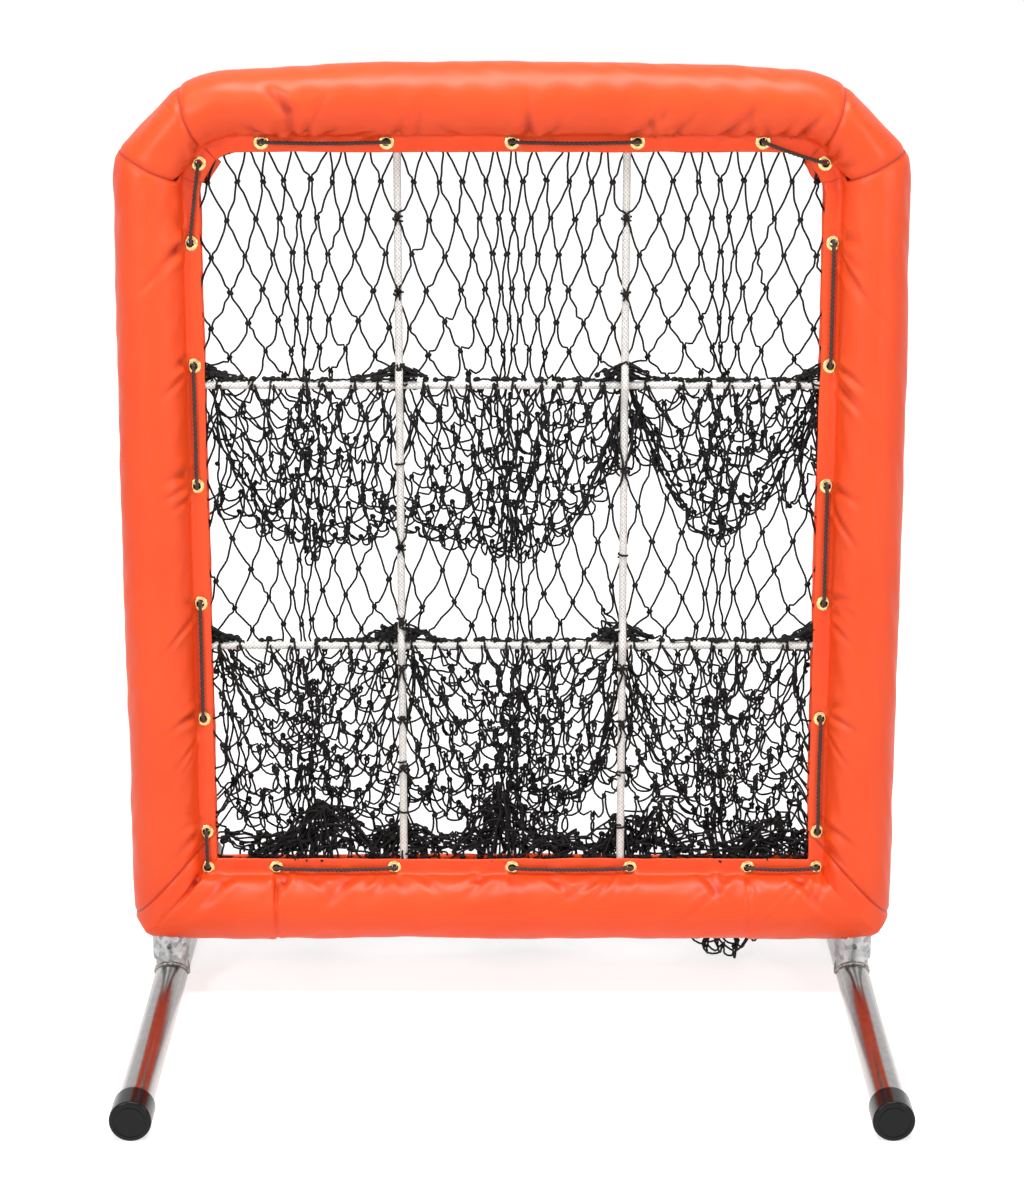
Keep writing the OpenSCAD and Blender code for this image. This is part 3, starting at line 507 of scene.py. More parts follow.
# %% [markdown]
# ## Centre lines of the side and top panels
# A side panel runs up its upright and a little way into the bend, and the top panel runs from
# bend to bend. In the window their flaps run on past the corner seam, because the corner's tab
# is laid over them. A smooth step makes them longer there without a jump.

# %% Centre lines of the side and top panels
tuck_turn = 0.24
tuck_depth = 1.75 * mm


def eased(x):
    x = np.clip(x, 0, 1)
    return x * x * (3 - 2 * x)


def at_flap(u):
    """0 on the padding and 1 on its flaps, with a smooth step at the flap's root."""
    return eased((u - 38 * mm) / (5 * mm))


def tucked(u):
    """The flaps of the side and top run on past the corner seams, under the corner's tab."""
    return tuck_turn * at_flap(u)


def side_line(share, u):
    start = rail_z + seam_rise + u
    straight = bend_z - start
    run = share * (straight + (low_seam(u) + tucked(u)) * bend_r)
    angle = np.maximum(run - straight, 0) / bend_r
    place, inward = on_bend(angle)
    place[..., 1] = np.where(angle > 0, place[..., 1], start + np.minimum(run, straight))
    return place, inward, run


def top_line(share, u):
    arc = (math.pi / 2 - high_seam(u) + tucked(u)) * bend_r
    run = share * (2 * arc + 2 * bend_x)
    left = np.maximum(arc - run, 0) / bend_r
    right = np.maximum(run - arc - 2 * bend_x, 0) / bend_r
    x = np.clip(run - arc, 0, 2 * bend_x) - bend_x + bend_r * (np.sin(right) - np.sin(left))
    z = top_z - bend_r * (2 - np.cos(left) - np.cos(right))
    inward = np.stack([np.sin(left) - np.sin(right), -np.cos(left + right)], -1)
    return np.stack([x, z], -1), inward, run


# %% [markdown]
# ## Centre line of the bottom panel
# The bottom panel is one sheet with a short leg at each end, folded over a mitre. If every row
# of points fanned out evenly, the grid would lean all along the bar. So the rows take up the
# mitre's slant in a short zone beside it, and stay square to the bar elsewhere.

# %% Centre line of the bottom panel
corner_zone = 68 * mm


def bottom_line(share, u):
    leg, zone, bar = seam_rise, corner_zone - u, 2 * (post_x - corner_zone)
    nominal = np.cumsum([0, leg, corner_zone, bar, corner_zone, leg])
    along_all = share * nominal[-1]
    steps = [np.clip((along_all - a) / (b - a), 0, 1) for a, b in zip(nominal[:-1], nominal[1:])]
    x = -(post_x - u) + steps[1] * zone + steps[2] * bar + steps[3] * zone
    lift = leg * (1 - steps[0]) + leg * steps[4]
    on_leg = lift > 0
    side = np.where(x < 0, 1.0, -1.0)
    height = np.where(on_leg, rail_z + u + lift, rail_z)
    place = np.stack([np.where(on_leg, x - side * u, x), height], -1)
    inward = np.stack([np.where(on_leg, side, 0), np.where(on_leg, 0 * x, 1)], -1)
    run = steps[0] * leg + (steps[1] + steps[3]) * zone + steps[2] * bar + steps[4] * leg
    return place, inward, run


# %% [markdown]
# ## Centre line of a corner piece
# A corner piece lies between the two corner seams. Towards the window it narrows to a straight
# tab with a square end, which covers the ends of the neighbours' flaps and takes the corner's
# grommet. The two shapes are blended over a few millimetres at the flap's root.

# %% Centre line of a corner piece
corner_turn = math.radians(36.5)


def gusset_line(share, u):
    low, high = low_seam(u), high_seam(u)
    angle = low + share * (high - low)
    place, inward = on_bend(angle)
    rear = np.arange(u.shape[-1]) > u.shape[-1] // 2
    lower = np.interp(u, [0.041, 0.056, 0.063], [0.0265, 0.0235, 0.0164])
    upper = np.interp(u, [0.041, 0.063], [0.0205, 0.0164])
    side = share * (lower + upper) - lower
    longer = np.where(rear, 9 * mm, 3.4 * mm) - 0.09 * side
    radius = bend_r - u - longer * np.clip((u - 56 * mm) / (flap_reach - 56 * mm), 0, 1)
    tab_x = -bend_x - radius * math.cos(corner_turn) + side * math.sin(corner_turn)
    tab_z = bend_z + radius * math.sin(corner_turn) + side * math.cos(corner_turn)
    tab = np.stack([tab_x, tab_z], -1) - inward * u[..., None]
    mix = eased((u - 33 * mm) / (10 * mm))[..., None]
    return place * (1 - mix) + tab * mix, inward, angle * bend_r


# %% [markdown]
# ## How far the padding stands out
# The foam is not equally full everywhere. It is fullest low on the sides and in the middle of
# the top, and the corner pieces pull it flat between two points. One function for each panel
# gives its reach on the outer side, and the section is stretched to meet it.

# %% Reach of each panel
low_vertex = (0.160, math.radians(19.5))
high_vertex = (0.1505, math.radians(60.0))


def chord_radius(angle):
    """Distance from the bend's centre to the chord between the gusset's two outer points."""
    (r1, a1), (r2, a2) = low_vertex, high_vertex
    x1, z1 = r1 * math.cos(a1), r1 * math.sin(a1)
    x2, z2 = r2 * math.cos(a2), r2 * math.sin(a2)
    length = math.hypot(x2 - x1, z2 - z1)
    return abs(x1 * z2 - x2 * z1) / length / np.cos(angle - math.atan2(x1 - x2, z2 - z1))


def side_reach(place, inward):
    angle = np.arctan2(-inward[..., 1], inward[..., 0])
    heights = [0, 0.787, 0.962, bend_z]
    straight = np.interp(place[..., 1], heights, [0.0457, 0.0457, 0.0428, 0.0420])
    return np.where(angle > 0, 0.0420 + 0.0037 * angle / low_vertex[1], straight)


def top_reach(place, inward):
    from_middle = [0, 0.15, 0.255, 0.33, 0.42]
    return np.interp(np.abs(place[..., 0]), from_middle, [0.0462, 0.0445, 0.041, 0.0362, 0.0362])


def gusset_reach(place, inward):
    angle = np.arctan2(-inward[..., 1], inward[..., 0])
    return chord_radius(np.clip(angle, low_vertex[1], high_vertex[1])) - bend_r


def bottom_reach(place, inward):
    return np.full(place.shape[:-1], pad_r)


# %% [markdown]
# ## Creases and ripples
# Vinyl over foam is never even. It ripples gently along a run, and it creases where a lace
# pulls: each crease starts at the flap's root beside a grommet and dies out on the round
# body. The heights come from formulas over two distances, one along the run and one across
# the section, so the same formulas serve every panel.

# %% Heights over the sheet
ripple_waves = ((0.19, 0.75), (0.13, 0.55), (0.09, 0.4),
                (0.062, 0.40), (0.044, 0.42), (0.031, 0.34))
ripple_height = 0.42 * mm
crease_root = 23 * mm
creases_per_grommet = 4


def ripples(run, across, seed, amount=1.0):
    """A sum of slow waves in random directions, in metres."""
    random = np.random.default_rng(seed)
    height = np.zeros(run.shape)
    for wavelength, size in ripple_waves:
        for _ in range(3):
            turn = random.uniform(0.15, 0.85) * math.pi
            phase = random.uniform(0, 2 * math.pi)
            way = run * math.cos(turn) + across * math.sin(turn)
            height += size * np.sin(2 * math.pi * way / wavelength + phase)
    return amount * height * ripple_height


def crease(run, across, start, end, depth, width):
    """A valley with soft shoulders between two places of the sheet, dying out at its end."""
    start, end = np.array(start), np.array(end)
    way = end - start
    share = ((run - start[0]) * way[0] + (across - start[1]) * way[1]) / (way @ way)
    held = np.clip(share, 0, 1)
    off = np.hypot(run - start[0] - held * way[0], across - start[1] - held * way[1])
    fade = (1 - held) ** 0.8 * np.clip(1 + 8 * share, 0, 1)
    shoulder = 0.45 * np.exp(-(((off - 2.1 * width) / (1.1 * width)) ** 2))
    return depth * fade * (shoulder - np.exp(-((off / width) ** 2)))


def pulled_creases(run, across, places, seed, rear):
    """A few creases of random length and slant beside each grommet on one face of the pad."""
    random = np.random.default_rng(seed)
    height = np.zeros(run.shape)
    root = section_run[-1] - crease_root if rear else crease_root
    way = -1 if rear else 1
    for place in places:
        for _ in range(creases_per_grommet):
            start = place + random.uniform(-24, 24) * mm
            length = random.uniform(26, 80) * mm
            slant = (start - place) * random.uniform(0.3, 1.8) + random.uniform(-18, 18) * mm
            depth = random.uniform(1.6, 4.2) * mm
            end = (start + slant, root + way * length)
            height += crease(run, across, (start, root), end, depth, random.uniform(3.4, 6.5) * mm)
    return height


# %% [markdown]
# ## Rows of points and holes
# A panel's rows lie close together where its shape changes quickly, at the seams and folds, and
# wide elsewhere. A grommet needs a round hole. A Boolean would leave long thin faces there, so
# the hole is cut in the grid itself: faces over it go, and the points left round it move onto
# its rim.

# %% Rows and holes
hole_r = 6 * mm


def station_shares(length, extra=()):
    """Shares of a run, close together at its two ends and at any extra places."""
    near = np.array([0, 1, 2, 3.2, 4.6, 6.4, 8.8, 12]) * mm
    places = [near, length - near, np.arange(15 * mm, length - 15 * mm, grid_step)]
    for place in extra:
        places.append(place + np.array([-3, -1.6, -0.7, 0, 0.7, 1.6, 3]) * mm)
    places = np.unique(np.round(np.concatenate(places), 5))
    keep = np.concatenate([[True], np.diff(places) > 0.5 * mm])
    return places[keep] / length


def cut_hole(verts, faces, centre, radius, side, axes=(0, 2)):
    """Removes the faces over a round hole, and moves the points beside it to its rim."""
    axes = list(axes)
    off = verts[:, axes] - np.array(centre)[axes]
    distance = np.linalg.norm(off, axis=1)
    near = (distance < 3 * radius) & side(verts)
    inside = near & (distance < radius)
    gone = inside[faces].any(1)
    rim = np.unique(faces[gone])
    rim = rim[~inside[rim] & near[rim]]
    verts[np.ix_(rim, axes)] = np.array(centre)[axes] + off[rim] * (radius / distance[rim])[:, None]
    return faces[~gone]


def near_grommets(verts, centres):
    """How free each point is to move: 0 under a grommet's flange, 1 well away from it."""
    free = np.ones(len(verts))
    for centre in centres:
        off = np.linalg.norm(verts[:, [0, 2]] - np.array(centre)[[0, 2]], axis=1)
        free = np.minimum(free, np.clip((off - 9.5 * mm) / (12 * mm), 0, 1))
    return free


# %% [markdown]
# ## Finishing a panel
# A grid has no thickness, and mirroring one turns it inside out. So the faces are first turned
# to look outwards. Solidify then gives the sheet its wall on the inner side. The result is made
# a plain mesh and attached to the frame, and the imported cover and foam that it stands for are
# hidden.

# %% Finish a panel
def finish_panel(name, verts, faces, mirror, stands_for, shade):
    if mirror:
        verts = verts * np.array([-1, 1, 1])
    a, b, c = verts[faces[np.argmin(verts[faces][:, :, 1].mean(1))][:3]]
    if np.cross(b - a, c - a)[1] > 0:
        faces = faces[:, ::-1]
    used = np.unique(faces)
    new_number = np.zeros(len(verts), int)
    new_number[used] = np.arange(len(used))
    piece = mesh_object(name, verts[used], new_number[faces], vinyl_finish)
    # The painted shade of creases, flap roots and seams goes onto the mesh as a point attribute.
    fold = piece.data.attributes.new("fold", "FLOAT", "POINT")
    fold.data.foreach_set("value", shade[used])
    wall = piece.modifiers.new("wall", "SOLIDIFY")
    wall.thickness = cover_wall - 0.1 * mm
    wall.offset = -1
    wall.use_even_offset = False
    shown = piece.evaluated_get(bpy.context.evaluated_depsgraph_get())
    mesh = bpy.data.meshes.new_from_object(shown)
    piece.modifiers.clear()
    piece.data = mesh
    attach(piece, "frame")
    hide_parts(*stands_for)
    print(f"{name} has {len(mesh.polygons)} faces")


# %% [markdown]
# ## Sweeping a panel
# The sweep gives a grid of points. Then the seam ends are drawn in, the creases and ripples
# are added along the sheet's own normal, and the flaps get their slightly wavy free edges.
# Under a grommet's flange the sheet stays flat, so that the eyelet sits on it.

# %% Panel sweep
def grommet_runs(line_points, run, y, centres):
    """How far along the run each grommet lies, from the point of the front flap nearest to it."""
    off_flap = np.abs(y + flap_half) > mm
    nearest = [np.argmin(np.hypot(line_points[0] - x, line_points[1] - z) + off_flap)
               for x, _, z in centres]
    return [run[np.unravel_index(index, y.shape)] for index in nearest]


def painted_fold_shade(pulled, to_seam):
    """How much painted shade darkens the vinyl: in creases, at the flap's root and in the seams."""
    shade = np.clip(-pulled / (4.5 * mm), 0, 1) * on_body
    shade = np.maximum(shade, 0.34 * np.exp(-(((from_edge - 25 * mm) / (3.4 * mm)) ** 2)))
    return np.maximum(shade, 0.75 * np.exp(-((to_seam / (2.6 * mm)) ** 2)))


def tucked_under(run, total, tucks):
    """1 where a flap's end lies under a corner piece's tab, and 0 elsewhere."""
    under = 0 * run
    reach = tuck_turn * bend_r
    for from_end, is_tucked in ((run - run.min(0), tucks[0]), (total - run, tucks[1])):
        if is_tucked:
            under = np.maximum(under, eased((1.55 * reach - from_end) / (0.4 * reach)))
    return under


def panel(name, line, reach, length, seed, grommets, stands_for, mirror=False, extra=(),
          shape=None, ends=None, tucks=(False, False)):
    shares = station_shares(length, extra)[:, None]
    u = np.broadcast_to(section_u, (len(shares), len(section)))
    place, inward, run = line(shares, u)
    outer = np.minimum(u, 0) * (reach(place, inward) / pad_r) + np.maximum(u, 0)
    y = np.broadcast_to(section_y, u.shape)
    across = np.broadcast_to(section_run, u.shape)
    total = np.maximum(run.max(0), 1e-6)[None]
    to_seam = np.minimum(run - run.min(0)[None], total - run)
    line_points = place[:, :, 0] + inward[:, :, 0] * u, place[:, :, 1] + inward[:, :, 1] * u
    centres_run = grommet_runs(line_points, run, y, grommets)
    height = ripples(run, across, seed) * on_body
    pulled = pulled_creases(run, across, centres_run, seed + 1, False)
    pulled += pulled_creases(run, across, centres_run, seed + 2, True)
    if shape:
        pulled += shape(place, run, across)
    height += pulled
    height *= np.clip(to_seam / (14 * mm), 0.15, 1)
    drawn_in = 2.6 * mm * np.exp(-((to_seam / (4.2 * mm)) ** 2))
    height -= drawn_in * np.clip(from_edge / (18 * mm), 0.25, 1)
    flap = 1 - on_body
    wave = ripples(run, np.where(y < 0, 0.0, 0.7) + 0 * run, seed + 3, 0.8)
    edge = np.clip(1 - from_edge / (16 * mm), 0, 1)
    outer = outer + wave * edge + np.where(y > 0, 1.2 * mm, 0) * edge
    point_x = place[..., 0] + inward[..., 0] * outer
    point_z = place[..., 1] + inward[..., 1] * outer
    flat = np.stack([point_x.ravel(), y.ravel(), point_z.ravel()], 1)
    free = near_grommets(flat, grommets).reshape(u.shape)
    flare = np.abs(ripples(run, np.where(y < 0, 0.3, 1.0) + 0 * run, seed + 4, 0.9)) * edge * free
    height = np.where(flap > 0.5, np.maximum(height * free, -0.2 * mm) + flare, height * free**flap)
    height = height - tuck_depth * tucked_under(run, total, tucks) * at_flap(u)
    point_x = point_x + inward[..., 0] * normal_u * height
    point_z = point_z + inward[..., 1] * normal_u * height
    verts = np.stack([point_x, y + normal_y * height, point_z], -1).reshape(-1, 3)
    faces = grid_faces(*u.shape)
    if ends:
        faces = ends(verts, faces)
    for centre in grommets:
        for front in (True, False):
            on_side = lambda v, front=front: (v[:, 1] < 0) == front
            faces = cut_hole(verts, faces, centre, hole_r, on_side)
    finish_panel(name, verts, faces, mirror, stands_for, painted_fold_shade(pulled, to_seam).ravel())


# %% [markdown]
# ## Grommet places
# The grommets stand six inches apart along every side, in line with each other, and one more
# sits at each corner. The right side's are the left side's mirrored. The list goes once round
# the window, because the cord will follow it.

# %% Grommet places
grommet_line = 50.5 * mm
grommet_pitch = 152.4 * mm
side_row_mid = 603 * mm
side_grommets = [(-post_x + grommet_line, 0, side_row_mid + (i - 2.5) * grommet_pitch)
                 for i in range(6)]
top_grommets = [((i - 2) * grommet_pitch, 0, top_z - grommet_line) for i in range(5)]
bottom_grommets = [(x, 0, rail_z + grommet_line) for x, _, _ in top_grommets]
top_corner = (-bend_x - (bend_r - grommet_line) * math.cos(corner_turn), 0,
              bend_z + (bend_r - grommet_line) * math.sin(corner_turn))
bottom_corner = (-post_x + grommet_line, 0, rail_z + grommet_line)


def mirrored(place):
    return (-place[0], place[1], place[2])


left_grommets = [bottom_corner, *side_grommets, top_corner]
right_grommets = [mirrored(g) for g in reversed(left_grommets)]
grommets = left_grommets + top_grommets + right_grommets + bottom_grommets[::-1]
print(f"{len(grommets)} grommets on each face")

# %% [markdown]
# ## The side panels
# Both sides are the same panel, so it is swept once on the left, and again with another seed
# and mirrored for the right. That keeps their creases from being copies of each other.

# %% Side panels
side_length = bend_z - rail_z - seam_rise + low_seam(0.0) * bend_r
for name, mirror, seed in (("cover_skin_left", False, 20), ("cover_skin_right", True, 40)):
    side = name.rsplit("_", 1)[1]
    panel(name, side_line, side_reach, side_length, seed, side_grommets,
          (f"cover_{side}", f"foam_{side}"), mirror, tucks=(False, True))

# %% [markdown]
# ## The ends of the bottom panel
# The bottom sheet differs from the others at its ends. The corner's sheet laps over it in a
# raised edge, its two lower outer tips are drawn in, and each upright comes in through a round
# opening underneath. Each of these is one small function that moves or cuts the swept grid.

# %% Ends of the bottom panel
tip_cut = 35 * mm
overlap_x = 305 * mm


def cut_tips(verts):
    """Draws the two lower outer corners in to a soft slanting edge."""
    tip_line = (rail_z - pad_r) - (post_x + pad_r) + tip_cut
    beyond = tip_line - (verts[:, 2] - np.abs(verts[:, 0]))
    soft = 5 * mm
    push = np.where(beyond > soft, beyond, np.maximum(beyond + soft, 0) ** 2 / (4 * soft))
    verts[:, 2] += push / 2
    verts[:, 0] -= np.sign(verts[:, 0]) * push / 2


def overlap_step(place, run, across):
    """The corner's sheet lies over the bar's, and ends there in a slightly raised edge."""
    past = (np.abs(place[..., 0]) - overlap_x) / (3 * mm)
    lifted = 1 / (1 + np.exp(-3 * np.clip(past, -8, 8)))
    return 1.5 * mm * lifted * np.exp(-np.maximum(past, 0) / 22) * on_body


def open_for_uprights(verts, faces):
    """The lower face of each corner is open, with a slightly wavy edge round the upright."""
    cut_tips(verts)
    low_down = lambda v: v[:, 2] < rail_z - 0.3 * pad_r
    for x in (-post_x, post_x):
        faces = cut_hole(verts, faces, (x, 0, 0), tube_r + 1.6 * mm, low_down, (0, 1))
        rim = (np.hypot(verts[:, 0] - x, verts[:, 1]) < tube_r + 9 * mm) & (verts[:, 2] < rail_z)
        turn = np.arctan2(verts[rim, 1], verts[rim, 0] - x)
        verts[rim, 2] += 1.6 * mm * np.sin(3 * turn + x * 9)
    return faces


# %% [markdown]
# ## Folds listed one by one
# The creases by the lacing come from a rule, but the long folds of the top and bottom are what
# gives this cover its character. So these are chosen one by one, in a list of starts and ends
# in millimetres, and go through the same crease formula. The last two of the bottom are its
# straight sewn seams.

# %% Folds listed one by one
def folds_at(chosen):
    """Each fold is a start and an end, (x, distance over the sheet), a depth and a width."""
    def shape(place, run, across):
        deep = 0
        for start, end, depth, width in chosen:
            ends = np.array(start) * mm, np.array(end) * mm
            deep = deep + crease(place[..., 0], across, *ends, depth * mm, width * mm)
        return deep
    return shape


top_folds = folds_at([
    ((-263, 20), (-268, 88), 5.5, 6), ((-270, 72), (-303, 116), 4.0, 7),
    ((-246, 16), (-253, 70), 4.2, 5), ((-236, 18), (-206, 50), 5.0, 5),
    ((-196, 22), (-160, 42), 4.0, 5), ((-288, 22), (-330, 60), 3.4, 6),
    ((-60, 24), (-96, 62), 3.2, 6), ((28, 22), (64, 54), 3.0, 6), ((140, 24), (188, 76), 4.2, 6),
    ((176, 22), (208, 60), 3.6, 5), ((250, 24), (300, 88), 5.0, 6), ((286, 20), (292, 80), 4.6, 6),
    ((322, 24), (344, 60), 3.6, 5),
])
bottom_folds = folds_at([
    ((-292, 22), (-318, 72), 4.0, 6), ((-262, 22), (-228, 64), 3.4, 5),
    ((-204, 24), (-250, 78), 3.6, 7), ((-120, 22), (-92, 58), 3.2, 5),
    ((-34, 24), (-60, 66), 3.2, 6), ((46, 22), (84, 70), 3.6, 6), ((150, 24), (120, 66), 3.0, 6),
    ((248, 22), (276, 76), 4.2, 6), ((300, 22), (322, 58), 3.6, 5),
    ((-364, 30), (-418, 86), 4.0, 7), ((366, 30), (414, 90), 4.4, 7),
    ((-304, 18), (-304, 190), 3.4, 2.6), ((304, 18), (304, 190), 3.0, 2.6),
])

# %% [markdown]
# ## The top and bottom panels
# The top panel is swept from corner to corner like the sides, with both ends tucked under the
# corner pieces. The bottom panel has closer rows of points at its mitres and overlaps, because
# its shape changes quickly there.

# %% Top and bottom panels
top_length = 2 * bend_x + 2 * (math.pi / 2 - high_seam(0.0)) * bend_r
panel("cover_skin_top", top_line, top_reach, top_length, 60, top_grommets,
      ("cover_top", "foam_top"), shape=top_folds, tucks=(True, True))
bottom_length = 2 * (post_x + seam_rise)
panel("cover_skin_bottom", bottom_line, bottom_reach, bottom_length, 80,
      [bottom_corner, *bottom_grommets, mirrored(bottom_corner)], ("cover_bottom", "foam_bottom"),
      extra=(seam_rise, seam_rise + post_x - overlap_x, bottom_length - seam_rise),
      shape=lambda *at: overlap_step(*at) + bottom_folds(*at), ends=open_for_uprights)

# %% [markdown]
# ## The corner pieces
# A separate piece of vinyl closes each upper corner. It is swept like the others, between the
# two slanting seams, and its tab reaches into the window over its neighbours' flaps.

# %% Corner pieces
gusset_length = (high_seam(0.0) - low_seam(0.0)) * bend_r
for side, mirror, seed in (("left", False, 100), ("right", True, 120)):
    panel(f"corner_skin_{side}", gusset_line, gusset_reach, gusset_length, seed, [top_corner],
          (f"gusset_{side}", f"foam_corner_{side}"), mirror)

# %% [markdown]
# ## Eyelets
# A brass eyelet is one rolled ring: a short barrel through the vinyl and a domed flange on it.
# It is modelled once as a turned profile. Geometry Nodes then place a copy at every hole, a
# little differently turned each time, and the copies on one face become one mesh.

# %% One eyelet
def group_input(tree, name, kind, value=None):
    socket = tree.interface.new_socket(name, in_out="INPUT", socket_type=kind)
    if value is not None:
        socket.default_value = value
    return socket.identifier


def with_tree(name, source, tree, names, values):
    """Runs a node tree on a source object, and returns the result as a plain mesh object."""
    modifier = source.modifiers.new("nodes", "NODES")
    modifier.node_group = tree
    for key, value in values.items():
        modifier[names[key]] = value
    shown = source.evaluated_get(bpy.context.evaluated_depsgraph_get())
    made = bpy.data.meshes.new_from_object(shown)
    made.name = name
    bpy.data.objects.remove(source)
    return link(bpy.data.objects.new(name, made))


def turned(name, outline, segments=28):
    """A ring turned about Z from a closed outline of (radius, height) points."""
    outline = np.array(outline) * mm
    turn = np.linspace(0, 2 * math.pi, segments, endpoint=False)[:, None]
    radius, height = outline[None, :, 0], outline[None, :, 1]
    points = np.stack([radius * np.cos(turn), radius * np.sin(turn), height + 0 * turn], -1)
    faces = grid_faces(segments, len(outline), True, True)
    return mesh_object(name, points.reshape(-1, 3), faces[:, ::-1])


eyelet = turned("eyelet", [
    (4.5, -1.4), (4.5, 0.3), (4.75, 0.8), (5.5, 1.06), (6.6, 0.98), (8.0, 0.66), (9.0, 0.3),
    (9.25, 0.08), (8.9, 0.0), (5.4, 0.0), (5.4, -1.4),
])
print(f"one eyelet has {len(eyelet.data.polygons)} faces")

# %% [markdown]
# ## A tree that places copies
# The tree takes points, and puts a copy of an object on each. It has named inputs for the
# turn, for a small random tilt and its seed, and for the finish. Realize Instances makes the
# copies real faces in the end, because instances don't survive an export. The same tree is
# used again for the weld beads.

# %% The tree that places copies
def random_vector(tree, low, high, seed):
    inputs = {0: low, 1: high, "Seed": seed}
    node = add(tree, "FunctionNodeRandomValue", inputs, data_type="FLOAT_VECTOR")
    return node.outputs["Value"]


def scaled(tree, vector, scale):
    inputs = {0: vector, "Scale": scale}
    return add(tree, "ShaderNodeVectorMath", inputs, operation="SCALE").outputs[0]


def finish_tree(tree, geometry, finish):
    """Ends a tree with real geometry, smooth shading and its material."""
    real = add(tree, "GeometryNodeRealizeInstances", {"Geometry": geometry})
    smooth = add(tree, "GeometryNodeSetShadeSmooth", {"Geometry": real.outputs["Geometry"]})
    dressed = add(tree, "GeometryNodeSetMaterial",
                  {"Geometry": smooth.outputs["Geometry"], "Material": finish})
    last = tree.nodes.new("NodeGroupOutput").inputs["Geometry"]
    tree.links.new(dressed.outputs["Geometry"], last)


def copies_tree():
    tree = bpy.data.node_groups.new("copies_at_points", "GeometryNodeTree")
    names = {
        "Geometry": group_input(tree, "Geometry", "NodeSocketGeometry"),
        "Copy": group_input(tree, "Copy", "NodeSocketObject"),
        "Turn": group_input(tree, "Turn", "NodeSocketVector"),
        "Tilt": group_input(tree, "Tilt", "NodeSocketFloat", 0.03),
        "Seed": group_input(tree, "Seed", "NodeSocketInt", 5),
        "Finish": group_input(tree, "Finish", "NodeSocketMaterial"),
    }
    tree.interface.new_socket("Geometry", in_out="OUTPUT", socket_type="NodeSocketGeometry")
    given = tree.nodes.new("NodeGroupInput").outputs
    shape = add(tree, "GeometryNodeObjectInfo", {"Object": given["Copy"]}).outputs["Geometry"]
    lean = random_vector(tree, (-1, -1, -1), (1, 1, 1), given["Seed"])
    lean = scaled(tree, lean, given["Tilt"])
    turn = add(tree, "ShaderNodeVectorMath", {0: given["Turn"], 1: lean}, operation="ADD")
    placed = add(tree, "GeometryNodeInstanceOnPoints", {
        "Points": given["Geometry"], "Instance": shape, "Rotation": turn.outputs[0]})
    finish_tree(tree, placed.outputs["Instances"], given["Finish"])
    return tree, names


place_tree, place_inputs = copies_tree()
print(f"the placing tree has {len(place_tree.nodes)} nodes")

# %% [markdown]
# ## All the eyelets
# There is a row of eyelets on the front flaps, and a second one behind it on the rear flaps.
# Both use the same points and the same ring, turned to face outwards, so that each shows its
# domed side.

# %% All the eyelets
for face, side in (("front", -1), ("rear", 1)):
    seats = mesh_object("seats", [(x, side * flap_half, z) for x, _, z in grommets], [])
    values = {"Copy": eyelet, "Turn": (-side * math.pi / 2, 0, 0), "Finish": brass_finish}
    piece = with_tree(f"{face}_eyelets", seats, place_tree, place_inputs, values)
    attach(piece, "frame")
    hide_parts(f"{face}_grommets")
bpy.data.objects.remove(eyelet)
print(f"{2 * len(grommets)} eyelets placed")

# %% [markdown]
# ## The lacing cord's path
# One dark cord runs all round in a running stitch: through a grommet to the back, along to
# the next, and through to the front. The path goes from grommet to grommet with a small round
# at every turn, and each long run sags a little and leans off the flap by its own amount.

# %% The cord's path
lace_r = 2.5 * mm
lace_y = 10.85 * mm
lace_round = 3.5 * mm


def lace_path():
    random = np.random.default_rng(31)
    turns = []
    for number, (x, _, z) in enumerate(grommets):
        side = 1 if number % 2 == 0 else -1
        turns += [np.array([x, side * lace_y, z]), np.array([x, -side * lace_y, z])]
    knot = (turns[0] + turns[-1]) / 2
    path = [knot]
    for before, here, after in zip([knot] + turns[:-1], turns, turns[1:] + [knot]):
        for other in (before, after):
            away = (other - here) / np.linalg.norm(other - here)
            path.append(here + away * lace_round)
        length = np.linalg.norm(after - here)
        if length > 40 * mm:
            slack = np.array([random.uniform(-0.8, 0.8), -np.sign(here[1]) * -0.7, -1.3]) * mm
            path.append((here + after) / 2 + slack)
    path.append(knot + np.array([2 * lace_r, 0, 0]))
    return smooth_line(path, 1.35 * mm)


path = lace_path()
cord_length = np.linalg.norm(np.diff(path, axis=0), axis=1).sum()
print(f"the cord is {cord_length:.2f} m long")

# %% [markdown]
# ## A twisted cord
# A laid cord is three strands twisted together. Its outline is a circle with three lobes, and
# the cord is that outline turned steadily as it follows the path. In Geometry Nodes the turning
# is the curve's tilt, which grows with its length. That is far lighter than three real strands.

